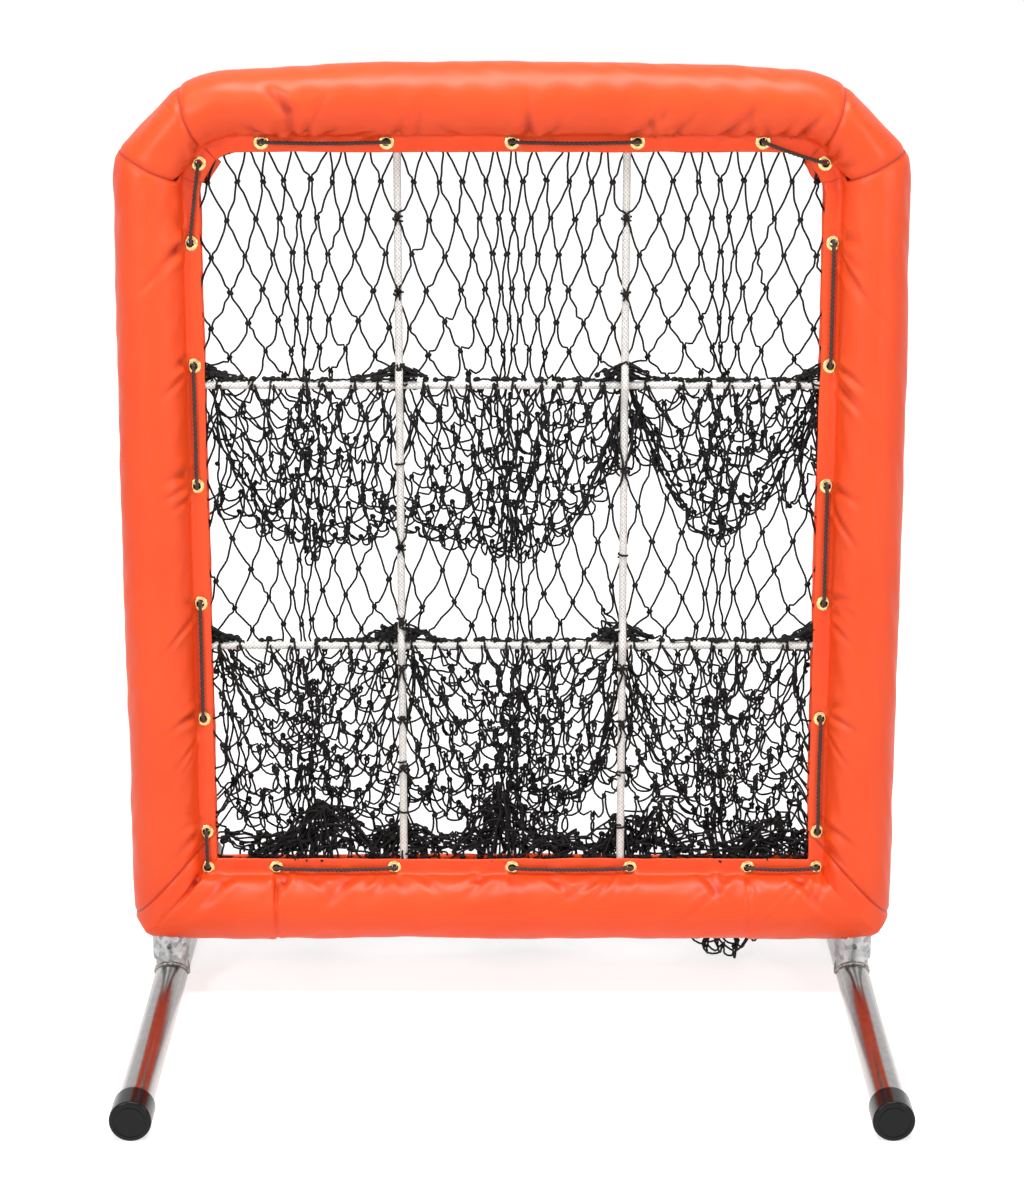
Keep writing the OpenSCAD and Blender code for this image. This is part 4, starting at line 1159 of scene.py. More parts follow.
# %% The twisted cord tree
def cord_tree():
    tree = bpy.data.node_groups.new("twisted_cord", "GeometryNodeTree")
    names = {
        "Geometry": group_input(tree, "Geometry", "NodeSocketGeometry"),
        "Radius": group_input(tree, "Radius", "NodeSocketFloat", lace_r),
        "Lobes": group_input(tree, "Lobes", "NodeSocketFloat", 3.0),
        "Twist": group_input(tree, "Twist", "NodeSocketFloat", 380.0),
        "Sides": group_input(tree, "Sides", "NodeSocketInt", 18),
        "Finish": group_input(tree, "Finish", "NodeSocketMaterial"),
    }
    tree.interface.new_socket("Geometry", in_out="OUTPUT", socket_type="NodeSocketGeometry")
    given = tree.nodes.new("NodeGroupInput").outputs
    line = add(tree, "GeometryNodeMeshToCurve", {"Mesh": given["Geometry"]}).outputs["Curve"]
    far = add(tree, "GeometryNodeSplineParameter").outputs

    def worked_out(operation, *values):
        return add(tree, "ShaderNodeMath", dict(enumerate(values)), operation=operation).outputs[0]

    tilt = worked_out("MULTIPLY", far["Length"], given["Twist"])
    line = add(tree, "GeometryNodeSetCurveTilt", {"Curve": line, "Tilt": tilt}).outputs["Curve"]
    ring = add(tree, "GeometryNodeCurvePrimitiveCircle",
               {"Resolution": given["Sides"], "Radius": given["Radius"]}).outputs["Curve"]
    turn = worked_out("MULTIPLY", far["Factor"], math.pi)
    turn = worked_out("MULTIPLY", turn, given["Lobes"])
    lobes = spread(tree, worked_out("ABSOLUTE", worked_out("COSINE", turn)), 0.50, 1.0)
    place = add(tree, "GeometryNodeInputPosition").outputs["Position"]
    lobed = add(tree, "GeometryNodeSetPosition",
                {"Geometry": ring, "Position": scaled(tree, place, lobes)}).outputs["Geometry"]
    body = add(tree, "GeometryNodeCurveToMesh",
               {"Curve": line, "Profile Curve": lobed, "Fill Caps": True}).outputs["Mesh"]
    finish_tree(tree, body, given["Finish"])
    return tree, names


def line_object(points):
    mesh = bpy.data.meshes.new("line")
    number = np.arange(len(points) - 1)
    mesh.from_pydata(np.asarray(points).tolist(), np.stack([number, number + 1], 1).tolist(), [])
    return link(bpy.data.objects.new("line", mesh))


def joined(name, pieces):
    """Several mesh objects as one."""
    with bpy.context.temp_override(active_object=pieces[0], selected_editable_objects=pieces):
        bpy.ops.object.join()
    pieces[0].name = name
    pieces[0].data.name = name
    return pieces[0]


twist_tree, twist_inputs = cord_tree()
lace = with_tree("lace", line_object(path), twist_tree, twist_inputs, {"Finish": lace_finish})
print(f"the cord has {len(lace.data.polygons)} faces")

# %% [markdown]
# ## The cord's knot
# Where the cord's two ends meet, they are tied in an overhand knot with two short tails. The
# knot is the well-known trefoil curve, flattened and set in front of the flap, and the same
# tree makes it cord.

# %% The cord's knot
def knot_path():
    turn = np.linspace(0.2, 2 * math.pi - 0.2, 30)
    size = 2.6 * mm
    x = size * (np.sin(turn) + 2 * np.sin(2 * turn)) * 0.62
    z = size * (np.cos(turn) - 2 * np.cos(2 * turn)) * 0.62
    y = 3.2 * mm - size * np.sin(3 * turn) * 0.8
    loop = np.stack([x, y, z], 1)
    tail = loop[-1] + np.array([[2, 1.5, -6], [3, 2, -14], [2, 2.5, -22]]) * mm
    first = loop[0] + np.array([[-2, 2.5, -24], [-3, 2, -14], [-2, 1, -6]]) * mm
    return path[0] + np.concatenate([first, loop, tail])


knot_line = line_object(smooth_line(knot_path(), 1.2 * mm))
knot_values = {"Finish": lace_finish, "Radius": 0.85 * lace_r}
knot = with_tree("knot", knot_line, twist_tree, twist_inputs, knot_values)
lace = joined("lacing_twist", [lace, knot])
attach(lace, "frame")
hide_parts("lacing_cord")
print("the cord's knot is tied")

# %% [markdown]
# ## Braided ropes
# A solid-braid rope shows small plump stitches that lean left and right in turn. Two sets of
# strands wind round it in opposite directions and pass over and under each other. A formula
# for the height of that weave, on a fine grid round the path, gives every stitch without
# modelling a single strand.

# %% Rope surface
def frames_along(path, start):
    """Two directions square to the path at each point, carried along it without twist."""
    ahead = np.gradient(path, axis=0)
    ahead /= np.linalg.norm(ahead, axis=1)[:, None]
    side = np.empty_like(path)
    carried = np.array(start, float)
    for i, direction in enumerate(ahead):
        carried = carried - direction * (carried @ direction)
        carried /= np.linalg.norm(carried)
        side[i] = carried
    return side, np.cross(ahead, side)


def braid_height(run, turn, strands, pitch):
    """Height of the weave from 0 in its gaps to 1 on its crowns."""
    one = strands * turn / (2 * math.pi) + run / pitch
    two = strands * turn / (2 * math.pi) - run / pitch
    f1, f2 = one - np.round(one), two - np.round(two)
    over = np.where((np.round(one) + np.round(two)) % 2 == 0, 1.0, -1.0)
    top1 = np.sqrt(np.clip(1 - (1.95 * f1) ** 2, 0, 1)) + 0.75 * over * np.cos(math.pi * f2)
    top2 = np.sqrt(np.clip(1 - (1.95 * f2) ** 2, 0, 1)) - 0.75 * over * np.cos(math.pi * f1)
    return np.clip(np.maximum(top1, top2) / 1.75, 0, 1)


def rope_mesh(name, path, radius, sides=30, strands=6, pitch=5.2 * mm, closed=False):
    if closed:
        path = path[:-1]
    side, other = frames_along(path, (0.3, 1, 0.2))
    steps = np.linalg.norm(np.diff(path, axis=0), axis=1)
    run = np.concatenate([[0], np.cumsum(steps)])[:, None]
    turn = np.linspace(0, 2 * math.pi, sides, endpoint=False)[None]
    height = braid_height(run, turn, strands, pitch)
    reach = (radius * (0.86 + 0.14 * height))[..., None]
    ring = np.cos(turn)[..., None] * side[:, None] + np.sin(turn)[..., None] * other[:, None]
    points = (path[:, None] + reach * ring).reshape(-1, 3)
    faces = grid_faces(len(path), sides, closed, True)[:, ::-1].tolist()
    # How much painted shade each point gets: most in the gaps of the weave, none on its crowns.
    groove = 1 - height.ravel()
    if not closed:
        points = np.concatenate([points, path[[0, -1]]])
        groove = np.concatenate([groove, [0, 0]])
        start, end, last = len(points) - 2, len(points) - 1, (len(path) - 1) * sides
        for k in range(sides):
            faces.append((start, k, (k + 1) % sides)[::-1])
            faces.append((end, last + (k + 1) % sides, last + k)[::-1])
    piece = mesh_object(name, points, faces, rope_finish)
    shade = piece.data.attributes.new("groove", "FLOAT", "POINT")
    shade.data.foreach_set("value", groove.astype(np.float32))
    return piece


# %% [markdown]
# ## The four ropes
# The level ropes run straight from upright to upright. The upright ones hang in front of them
# and are pushed forward at each crossing, over a length that a rope of this thickness needs to
# bend. A half cosine gives that bend without a kink.

# %% The four ropes
lay_gap = 0.35 * mm
rope_end = tube_r + lay_gap + 2 * rope_r + lay_gap
crossing_y = 2 * rope_r + lay_gap
crossing_half = 34 * mm


def crossing_bump(height):
    """How far an upright rope stands out to pass in front of a level one."""
    out = 0 * height
    for level in (upper_rope_z, lower_rope_z):
        off = np.clip(np.abs(height - level) / crossing_half, 0, 1)
        out = out + crossing_y * (1 + np.cos(math.pi * off)) / 2
    return out


def dress_rope(piece, node_name):
    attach(piece, "frame")
    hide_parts(node_name)


rope_step = 0.95 * mm
for side, sign in (("left", -1), ("right", 1)):
    height = np.arange(rail_z + rope_end, top_z - rope_end, rope_step)
    path = np.stack([sign * rope_x + 0 * height, -crossing_bump(height), height], 1)
    dress_rope(rope_mesh(f"upright_braid_{side}", path, rope_r), f"rope_vertical_{side}")
for name, level in (("upper", upper_rope_z), ("lower", lower_rope_z)):
    x = np.arange(-post_x + rope_end, post_x - rope_end, rope_step)
    path = np.stack([x, 0 * x, level + 0 * x], 1)
    dress_rope(rope_mesh(f"level_braid_{name}", path, rope_r), f"rope_horizontal_{name}")
print("four ropes made")

# %% [markdown]
# ## The rope's turns round the tube
# Inside the padding each rope end is tied round the tube. Nobody sees these turns while the
# cover is on, so each is a plain closed ring with a coarser braid. All eight are one mesh.

# %% The turns round the tube
tie_r = tube_r + lay_gap + rope_r
turn = np.linspace(0, 2 * math.pi, 151)
across_x = np.stack([0 * turn, tie_r * np.cos(turn), tie_r * np.sin(turn)], 1)
across_z = across_x[:, [1, 2, 0]]
rings = []
for ring, half, levels in (
    (across_z, post_x, (upper_rope_z, lower_rope_z)), (across_x, rope_x, (top_z, rail_z)),
):
    for level in levels:
        for x in (-half, half):
            place = ring + np.array([x, 0, level])
            rings.append(rope_mesh("ring", place, rope_r, 14, 4, 7 * mm, True))
dress_rope(joined("rope_turns", rings), "rope_ties")
print(f"{len(rings)} turns round the tube")

# %% [markdown]
# ## The weld beads
# Each stub is coped to sit on its foot tube, and a bead of weld fills the joint. A bead is laid
# down as a row of small overlapping pools. So small balls are placed close together along the
# line where the two tubes meet, each turned its own way.

# %% Weld beads
def weld_line(post):
    """Where the stub's outside meets the foot tube, from above a saddle-shaped ring."""
    foot_low, foot_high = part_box("left_foot_tube")
    radius = (foot_high.x - foot_low.x) / 2
    centre_z = (foot_high.z + foot_low.z) / 2
    turn = np.linspace(0, 2 * math.pi, 76, endpoint=False)
    reach = radius + 0.4 * mm
    x, y = reach * np.cos(turn), reach * np.sin(turn)
    return np.stack([post + x, y, centre_z + reach * np.abs(np.sin(turn))], 1)


for side, sign in (("left", -1), ("right", 1)):
    bpy.ops.mesh.primitive_ico_sphere_add(subdivisions=2, radius=2.5 * mm)
    pool = bpy.context.object
    seats = mesh_object("seats", weld_line(sign * post_x), [])
    values = {"Copy": pool, "Tilt": 1.2, "Seed": 7 + sign, "Finish": weld_finish}
    bead = with_tree(f"{side}_weld_pools", seats, place_tree, place_inputs, values)
    bpy.data.objects.remove(pool)
    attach(bead, f"{side}_foot")
    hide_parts(f"{side}_weld")
print("weld beads made")

# %% [markdown]
# ## The net
# A knotted net is twine bars of one length, joined at knots into diamonds. Hung up, each
# diamond is stretched tall, and the slack below a rope falls in a bag. A drawn pattern would
# look stiff, so the knots are laid out roughly and then settled: gravity pulls, each bar is
# drawn towards its one length, and the knots that are tied or lie in a tangle stay where they
# are. First come the sizes: the mesh, its rows and columns, and the places of its edges.

# %% Sizes of the net
bar = 47.6 * mm
twine_r = 1.45 * mm
columns = 26
rope_columns = (8, 18)
pocket_rows = (24, 27, 24)
hem_rows = 4
first_row = np.concatenate([[0], np.cumsum(pocket_rows)])
hem_inset = 53.85 * mm
hem_x = post_x - hem_inset
hem_top_z = top_z - hem_inset
hem_bottom_z = rail_z + hem_inset
cell_edges = (0, *rope_columns, columns)
cell_x = (-hem_x, -rope_x, rope_x, hem_x)
row_top = (hem_top_z, upper_rope_z + rope_r, lower_rope_z + rope_r)
row_end = (upper_rope_z, lower_rope_z, hem_bottom_z)
print(f"the window is {2 * hem_x:.3f} m wide and {hem_top_z - hem_bottom_z:.3f} m high")

# %% [markdown]
# ## The shape of a pocket
# Seen from the side, a pocket runs down its window, falls into a bag behind the rope, and comes
# up again to that rope. The bags of the two upper rows share one such outline. In the bottom
# row the net passes behind the padding, hangs out below it and comes up to the lower hem. Each
# point is a share of the depth, and a height that counts 0 at the pocket's top, 1 at its rope
# and 2 at the bag's lowest point. Those lowest points are chosen one by one, in millimetres
# above the floor, as the nine bags hang unevenly.

# %% Side view of a pocket
pocket_depth = 145 * mm
bag_low_z = ((594, 590, 596), (205, 215, 200), (54, 60, 27))
bag_shape = [
    (0, 0), (0.07, 0.15), (0.20, 0.36), (0.38, 0.60), (0.65, 0.85), (0.90, 1.11), (1.02, 1.43),
    (1.00, 1.75), (0.77, 2.00), (0.58, 1.91), (0.43, 1.61), (0.25, 1.25), (0.04, 1.01),
]
low_bag_shape = [
    (0, 0), (0.055, 0.17), (0.165, 0.41), (0.29, 0.67), (0.43, 0.90), (0.63, 1.18), (0.81, 1.57),
    (0.76, 2.00), (0.59, 1.90),
]


def pocket_profile(pocket, cell):
    """(depth, height) along the middle of a pocket, from its top edge round the bag."""
    top, rope, low = row_top[pocket], row_end[pocket], bag_low_z[pocket][cell] * mm

    def height(down):
        return top - down * (top - rope) if down <= 1 else rope - (down - 1) * (rope - low)

    shape = bag_shape if pocket < 2 else low_bag_shape
    points = [(share * pocket_depth, height(down)) for share, down in shape]
    if pocket == 2:
        points += [
            (pad_r + 16 * mm, rail_z - 12 * mm), (pad_r + 4 * mm, rail_z + 0.9 * pad_r),
            (0.6 * pad_r, rail_z + 1.55 * pad_r), (10 * mm, hem_bottom_z + 20 * mm),
            (0, hem_bottom_z),
        ]
    else:
        points += [(0, rope + rope_r + 2 * mm)]
    return np.array(points)


def along(points, share):
    """The point at a share of a line's whole length."""
    steps = np.concatenate([[0], np.cumsum(np.linalg.norm(np.diff(points, axis=0), axis=1))])
    return np.array([np.interp(share * steps[-1], steps, column) for column in points.T])


def line_length(points):
    return np.linalg.norm(np.diff(points, axis=0), axis=1).sum()


print(f"from its top edge the first pocket is {line_length(pocket_profile(0, 0)):.2f} m round")

# %% [markdown]
# ## Where slack net is piled up
# There is more net than the bags need. The rest lies in small mounds where ropes cross, and in
# a long tangle along the lower hem, with heaps where each bag was gathered. A heap is a place, a
# width and a height, and the knots that lie in it get random places under its curve.

# %% Heaps
rng = np.random.default_rng(11)
heaps = [(-0.235, 0.040, 0.062), (-0.140, 0.026, 0.042), (-0.014, 0.034, 0.080),
         (0.055, 0.030, 0.030), (0.140, 0.026, 0.045), (0.185, 0.026, 0.070),
         (0.340, 0.040, 0.030)]


def heap_height(x):
    """How high the net is heaped over the bottom cover's edge."""
    return 0.026 + sum(high * math.exp(-(((x - mid) / wide) ** 2)) for mid, wide, high in heaps)


def heaped(x, pocket):
    """A random place in the tangle: in mounds on a level rope, or along the bottom hem."""
    if pocket < 2:
        side = min(cell_x, key=lambda edge: abs(edge - x))
        away = rng.normal(0, 0.42)
        if abs(side) > hem_x - mm:
            away = -np.sign(side) * abs(away)
        place = side + np.clip(away, -1.1, 1.1) * 36 * mm
        high = 4 + 19 * max(0, 1 - abs(away)) * rng.random()
        return np.array([place, rng.uniform(-4, 7) * mm, row_end[pocket] + rope_r + high * mm])
    middle = min((h[0] for h in heaps), key=lambda m: abs(m - x))
    place = x + (middle - x) * rng.uniform(0, 0.6) + rng.uniform(-12, 12) * mm
    return np.array([place, rng.uniform(2, 26) * mm,
                     hem_bottom_z + 4 * mm + heap_height(place) * rng.uniform(0.05, 1)])


print(f"{len(heaps)} heaps, the highest {max(h[2] for h in heaps):.3f} m over the hem's tangle")

# %% [markdown]
# ## Rough places of the knots
# Every knot gets a place from its row and column. The row says how far round its pocket it
# lies, and the column how far across its cell. In the middle of a cell it follows the pocket's
# outline. Towards the cell's edges it comes nearer to the ropes, where the net is tied or is
# piled up.

# %% Rough places
def row_share(row, pocket):
    """How far round the pocket a row lies: the front is stretched, and the bag has more net."""
    if pocket == 2:
        return min(row / (pocket_rows[2] - hem_rows), 1)
    taut_rows, taut_share = 7, 0.40
    if row <= taut_rows:
        return taut_share * row / taut_rows
    return taut_share + (1 - taut_share) * (row - taut_rows) / (pocket_rows[pocket] - taut_rows)


def drawn_in(off_middle, front):
    """A place across the cell, -1 to 1, once the net's own weight has drawn it together."""
    closing = min(1, 3 * front) * (0.32 + 0.2 * np.clip((1.7 - front) / 0.4, 0, 1))
    off_middle += 0.04 * (1 - off_middle**2)
    return np.sign(off_middle) * abs(off_middle) ** (1 + closing)


def tie_place(x, on_edge, row, pocket):
    """Where a knot of an edge row sits: on a level rope, or on the line of the lacing."""
    if 0 < row < first_row[-1]:
        return (x + (not on_edge) * rng.uniform(-6, 6) * mm, rng.uniform(-1, 2.5) * mm,
                row_top[pocket] + rng.uniform(1.6, 3.6) * mm)
    tie_z = row_top[pocket] if row < first_row[-1] else hem_bottom_z
    return x + (not on_edge) * rng.uniform(-9, 9) * mm, 0.0, tie_z


def rough_knot(row, column):
    """A knot's rough place, whether it is held there, and whether it lies in a tangle."""
    pocket = min(int(np.searchsorted(first_row, row, side="right")) - 1, 2)
    share = row_share(row - first_row[pocket], pocket)
    cell = min(int(np.searchsorted(cell_edges, column, side="right")) - 1, 2)
    across = (column - cell_edges[cell]) / (cell_edges[cell + 1] - cell_edges[cell])
    profile = pocket_profile(pocket, cell)
    length = line_length(profile)
    fallen = share * length
    edge_height = max(row_top[pocket] - fallen, row_end[pocket])
    gathered = row_top[pocket] - fallen < row_end[pocket] + 6 * mm
    drawn = drawn_in(2 * across - 1, fallen / (row_top[pocket] - row_end[pocket]))
    x = cell_x[cell] + (0.5 + 0.5 * drawn) * (cell_x[cell + 1] - cell_x[cell])
    bulge = math.sin(math.pi * across) ** 0.45 if 0 < across < 1 else 0
    depth, height = along(profile, share)
    start = (row_top[pocket] - row_end[pocket]) / length
    slack = np.clip((share - start) / (1 - start), 0, 1)
    hung = math.sin(math.pi * slack)
    edge_fall = 0.74 * (row_end[pocket] - bag_low_z[pocket][cell] * mm) * (pocket < 2)
    edge_depth, edge_height = 70 * mm * hung, edge_height - edge_fall * hung**0.8
    y = edge_depth + bulge * (depth - edge_depth)
    z = edge_height + bulge * (height - edge_height)
    on_edge = across in (0, 1)
    from_edge = min(column - cell_edges[cell], cell_edges[cell + 1] - column)
    if row in first_row:
        return tie_place(x, on_edge, row, pocket), True, False
    if pocket == 2 and row >= first_row[3] - hem_rows:
        return heaped(x, 2), True, True
    if gathered and from_edge < 1.2 and (hung < 0.30 or rng.random() < 0.06):
        return heaped(x, pocket), True, True
    if on_edge and gathered:
        return (x + rng.normal(0, 5) * mm, max(y, 8 * mm), z + rng.normal(0, 6) * mm), False, False
    if on_edge:
        side = 1 if rng.random() < 0.35 else -1
        at_rope = abs(x) < hem_x - mm
        return (x, side * (rope_r + twine_r) * at_rope, z + rng.uniform(-6, 6) * mm), True, False
    rough = 1 + 2 * (0 < slack < 1)
    return (x + rng.normal(0, 2.8 * rough) * mm, y + rng.normal(0, 2.5 * rough) * mm,
            z + rng.normal(0, 3.4 * rough) * mm), False, False


# %% [markdown]
# ## All the knots
# Every second row is shifted by half a column, which makes diamonds of the gaps. The rows are
# filled in from top to bottom, and each knot's number is kept under its row and column, so that
# its neighbours can find it.

# %% All the knots
knot_index, made = {}, []
for row in range(int(first_row[-1]) + 1):
    for step in range(columns + 1 - row % 2):
        column = step + 0.5 * (row % 2)
        knot_index[row, column] = len(made)
        made.append(rough_knot(row, column))
knots, held_knots, heaped_knots = (np.array(values) for values in zip(*made))
in_tangles = heaped_knots.sum()
print(f"{len(knots)} knots: {held_knots.sum() - in_tangles} tied and {in_tangles} in tangles")

# %% [markdown]
# ## Bars of twine
# A bar of twine joins each knot to the two below it. Each bar also keeps its row and column,
# and which way it leans, because its place decides how it starts out.

# %% Bars
bars = []
for (row, column), start in knot_index.items():
    for lean in (-0.5, 0.5):
        end = knot_index.get((row + 1, column + lean))
        if end is not None:
            bars.append((start, end, 0 if lean > 0 else 1, row, column))
bar_ends = np.array([b[:2] for b in bars])
bar_lean = np.array([b[2] for b in bars])
bar_row = np.array([b[3] for b in bars])
bar_column = np.array([b[4] for b in bars]) + np.where(bar_lean == 0, 0.25, -0.25)
print(f"{len(bars)} bars of twine")

# %% [markdown]
# ## How the bars start out
# A bar is cut into four short links, so that it can bend. Its inner points start on a straight
# line with small random shifts. A bar that comes over a rope starts on the rope's front, and
# one inside a heap is thrown into a loose loop. Both are held where they are put, the first of
# them by its one point on the rope.

# %% Inner points of the bars
links_per_bar = 4
shares = np.arange(1, links_per_bar) / links_per_bar
starts, ends = knots[bar_ends[:, 0]], knots[bar_ends[:, 1]]
inner = starts[:, None] + shares[None, :, None] * (ends - starts)[:, None]
over_rope = np.isin(bar_row, first_row[1:3])
into_rope = np.isin(bar_row + 1, first_row[1:3])
inner[over_rope, :, 1] -= np.array([12, 9, 3]) * mm
inner[into_rope, :, 1] += np.array([3, 9, 12]) * mm
inner += rng.normal(0, 2.5 * mm, inner.shape)
front_of_rope = over_rope & ~heaped_knots[bar_ends[:, 0]]
rope_z = np.where(bar_row == first_row[1], upper_rope_z, lower_rope_z)[front_of_rope]
lean_way = np.where(bar_lean[front_of_rope] == 0, 1, -1)
wrap_x = starts[front_of_rope, 0] + rng.uniform(0.5, 3.5, front_of_rope.sum()) * mm * lean_way
wrap_y = 0 * wrap_x - rope_r - 1.3 * twine_r
inner[front_of_rope, 0] = np.stack([wrap_x, wrap_y, rope_z - 0.5 * mm], 1)
loose = heaped_knots[bar_ends].all(1)
loop = rng.normal(0, 1, (loose.sum(), 1, 3)) * np.array([13, 5, 7]) * mm
loop = loop * np.sin(math.pi * shares)[None, :, None]
inner[loose] += loop + rng.normal(0, 1.5 * mm, inner[loose].shape)
lowest = np.minimum(starts[loose, 2], ends[loose, 2])[:, None] - 4 * mm
inner[loose, :, 2] = np.maximum(inner[loose, :, 2], lowest)
points = np.concatenate([knots, inner.reshape(-1, 3)])
inner_index = len(knots) + np.arange(inner.size // 3).reshape(len(bars), -1)
chain = np.concatenate([bar_ends[:, :1], inner_index, bar_ends[:, 1:]], 1)
fixed = np.zeros(len(points), bool)
fixed[: len(knots)] = held_knots
fixed[inner_index[front_of_rope, 0]] = True
fixed[inner_index[loose].ravel()] = True
print(f"{len(points)} points, {fixed.sum()} of them held")

# %% [markdown]
# ## Sets of links
# The settling below moves both ends of many links in one array operation. That only works if no
# two of them share a point. So the links are sorted into sets by their place along the bar and
# by the way the bar leans. A second group of pairs, two links apart, keeps a bar from kinking.

# %% Sets of links
falling, rising = bar_lean == 0, bar_lean == 1
link_sets = [
    np.concatenate([chain[falling][:, 0:2], chain[:, 2:4]]),
    chain[rising][:, 0:2],
    np.concatenate([chain[:, 1:3], chain[falling][:, 3:5]]),
    chain[rising][:, 3:5],
]
bend_sets = [chain[falling][:, [0, 2]], chain[rising][:, [0, 2]], chain[:, [1, 3]],
             chain[falling][:, [2, 4]], chain[rising][:, [2, 4]]]
print(f"the link sets hold {sum(map(len, link_sets))} links")

# %% [markdown]
# ## Settling the net
# The net is let down in small steps. In each step gravity pulls, and then a few rounds of small
# corrections draw every link towards its own length. A weaker correction keeps bars from
# kinking, as stiff twine does. Ropes and padding push the net off, and a gentle pull towards
# the rough places keeps the bags' shapes. A bar between two knots that are held apart stays
# too long, so the lengths are printed at the end.

# %% Settle
settle_steps = 160
step_time = 0.006
kept_speed = 0.93
stiff_rounds = 6
link_length = bar / links_per_bar
bent_length, bend_stiffness = 1.9 * link_length, 0.25
gravity_pull = np.array([0, 0, -9.81]) * step_time**2
towards_rough = [0.15, 0.15, 0.12]
off_floor = 6 * mm


def correct(points, free, pairs, length, stiffness, only_short=False):
    """Moves both ends of every pair towards its length, each by how free it is."""
    a, b = pairs[:, 0], pairs[:, 1]
    gap = points[b] - points[a]
    distance = np.linalg.norm(gap, axis=1) + 1e-9
    weight = free[a] + free[b]
    error = distance - length
    if only_short:
        error = np.minimum(error, 0)
    move = (stiffness * error / distance / np.maximum(weight, 1e-9))[:, None] * gap
    points[a] += move * free[a, None]
    points[b] -= move * free[b, None]


def push_from_rope(points, z, radius):
    away = points[:, 1:] - np.array([0, z])
    distance = np.linalg.norm(away, axis=1) + 1e-9
    inside = distance < radius
    points[inside, 1:] += away[inside] * (radius / distance[inside] - 1)[:, None]


def settle(points):
    free = (~fixed).astype(float)
    before = points.copy()
    rough = points[: len(knots)].copy()
    moving = ~held_knots
    for _ in range(settle_steps):
        drift = kept_speed * (points - before)
        before = points.copy()
        points += (drift + gravity_pull) * free[:, None]
        knot_points = points[: len(knots)]
        knot_points[moving] += (rough - knot_points)[moving] * towards_rough
        for _ in range(stiff_rounds):
            for pairs in link_sets:
                correct(points, free, pairs, link_length, 1.0)
            for pairs in bend_sets:
                correct(points, free, pairs, bent_length, bend_stiffness, True)
        for z in (upper_rope_z, lower_rope_z):
            push_from_rope(points, z, rope_r + 1.2 * twine_r)
        push_from_rope(points, rail_z, pad_r + 2 * mm)
        points[fixed] = before[fixed]
        points[:, 2] = np.maximum(points[:, 2], off_floor)
    return points


points = settle(points)
between = slice(len(knots), None)
points[between] += rng.normal(0, 0.9 * mm, points[between].shape) * ~fixed[between, None]
lengths = np.linalg.norm(np.diff(points[chain], axis=1), axis=2).sum(1) / mm
print(f"bars are {lengths.min():.1f} to {lengths.max():.1f} mm long, wanted {bar / mm:.1f}")

# %% [markdown]
# ## Twine and knots with Geometry Nodes
# The settled net is only lines. A node tree turns each line into a smooth round strand and
# puts a small knot on every crossing. Done this way, the twine's thickness stays one number
# that can be changed at any time.

# %% The twine tree
def twine_tree():
    tree = bpy.data.node_groups.new("twine_and_knots", "GeometryNodeTree")
    names = {
        "Geometry": group_input(tree, "Geometry", "NodeSocketGeometry"),
        "Strand radius": group_input(tree, "Strand radius", "NodeSocketFloat", twine_r),
        "Knot size": group_input(tree, "Knot size", "NodeSocketFloat", 3.3 * mm),
        "Sides": group_input(tree, "Sides", "NodeSocketInt", 5),
        "Seed": group_input(tree, "Seed", "NodeSocketInt", 3),
        "Twine": group_input(tree, "Twine", "NodeSocketMaterial"),
    }
    tree.interface.new_socket("Geometry", in_out="OUTPUT", socket_type="NodeSocketGeometry")
    given = tree.nodes.new("NodeGroupInput").outputs

    def step(kind, output, inputs, **settings):
        return add(tree, kind, inputs, **settings).outputs[output]

    is_knot = step("GeometryNodeInputNamedAttribute", "Attribute", {"Name": "knot"},
                   data_type="BOOLEAN")
    lines = step("GeometryNodeMeshToCurve", "Curve", {"Mesh": given["Geometry"]})
    lines = step("GeometryNodeCurveSplineType", "Curve", {"Curve": lines},
                 spline_type="CATMULL_ROM")
    lines = step("GeometryNodeSetSplineResolution", "Geometry",
                 {"Geometry": lines, "Resolution": 2})
    ring = step("GeometryNodeCurvePrimitiveCircle", "Curve",
                {"Resolution": given["Sides"], "Radius": given["Strand radius"]})
    strands = step("GeometryNodeCurveToMesh", "Mesh", {"Curve": lines, "Profile Curve": ring})
    ball = step("GeometryNodeMeshIcoSphere", "Mesh", {"Radius": 1.0, "Subdivisions": 2})
    seats = step("GeometryNodeMeshToPoints", "Points",
                 {"Mesh": given["Geometry"], "Selection": is_knot})
    turn = random_vector(tree, (-0.5, -0.5, -0.7), (0.5, 0.5, 0.7), given["Seed"])
    girth = random_vector(tree, (1.05, 0.8, 0.8), (1.55, 1.1, 1.2), given["Seed"])
    girth = scaled(tree, girth, given["Knot size"])
    lumps = step("GeometryNodeInstanceOnPoints", "Instances",
                 {"Points": seats, "Instance": ball, "Rotation": turn, "Scale": girth})
    lumps = step("GeometryNodeRealizeInstances", "Geometry", {"Geometry": lumps})
    both = add(tree, "GeometryNodeJoinGeometry")
    tree.links.new(strands, both.inputs["Geometry"])
    tree.links.new(lumps, both.inputs["Geometry"])
    finish_tree(tree, both.outputs["Geometry"], given["Twine"])
    return tree, names


net_tree, net_inputs = twine_tree()
print(f"the twine tree has {len(net_tree.nodes)} nodes")

# %% [markdown]
# ## Hitches on the ropes
# Where the net is tied to a rope, its twine goes once round it. These small turns are what
# makes the net look tied and not laid on. Each starts at its own angle round the rope and leads
# a few millimetres along it.

# %% Hitches
strand_points = 7


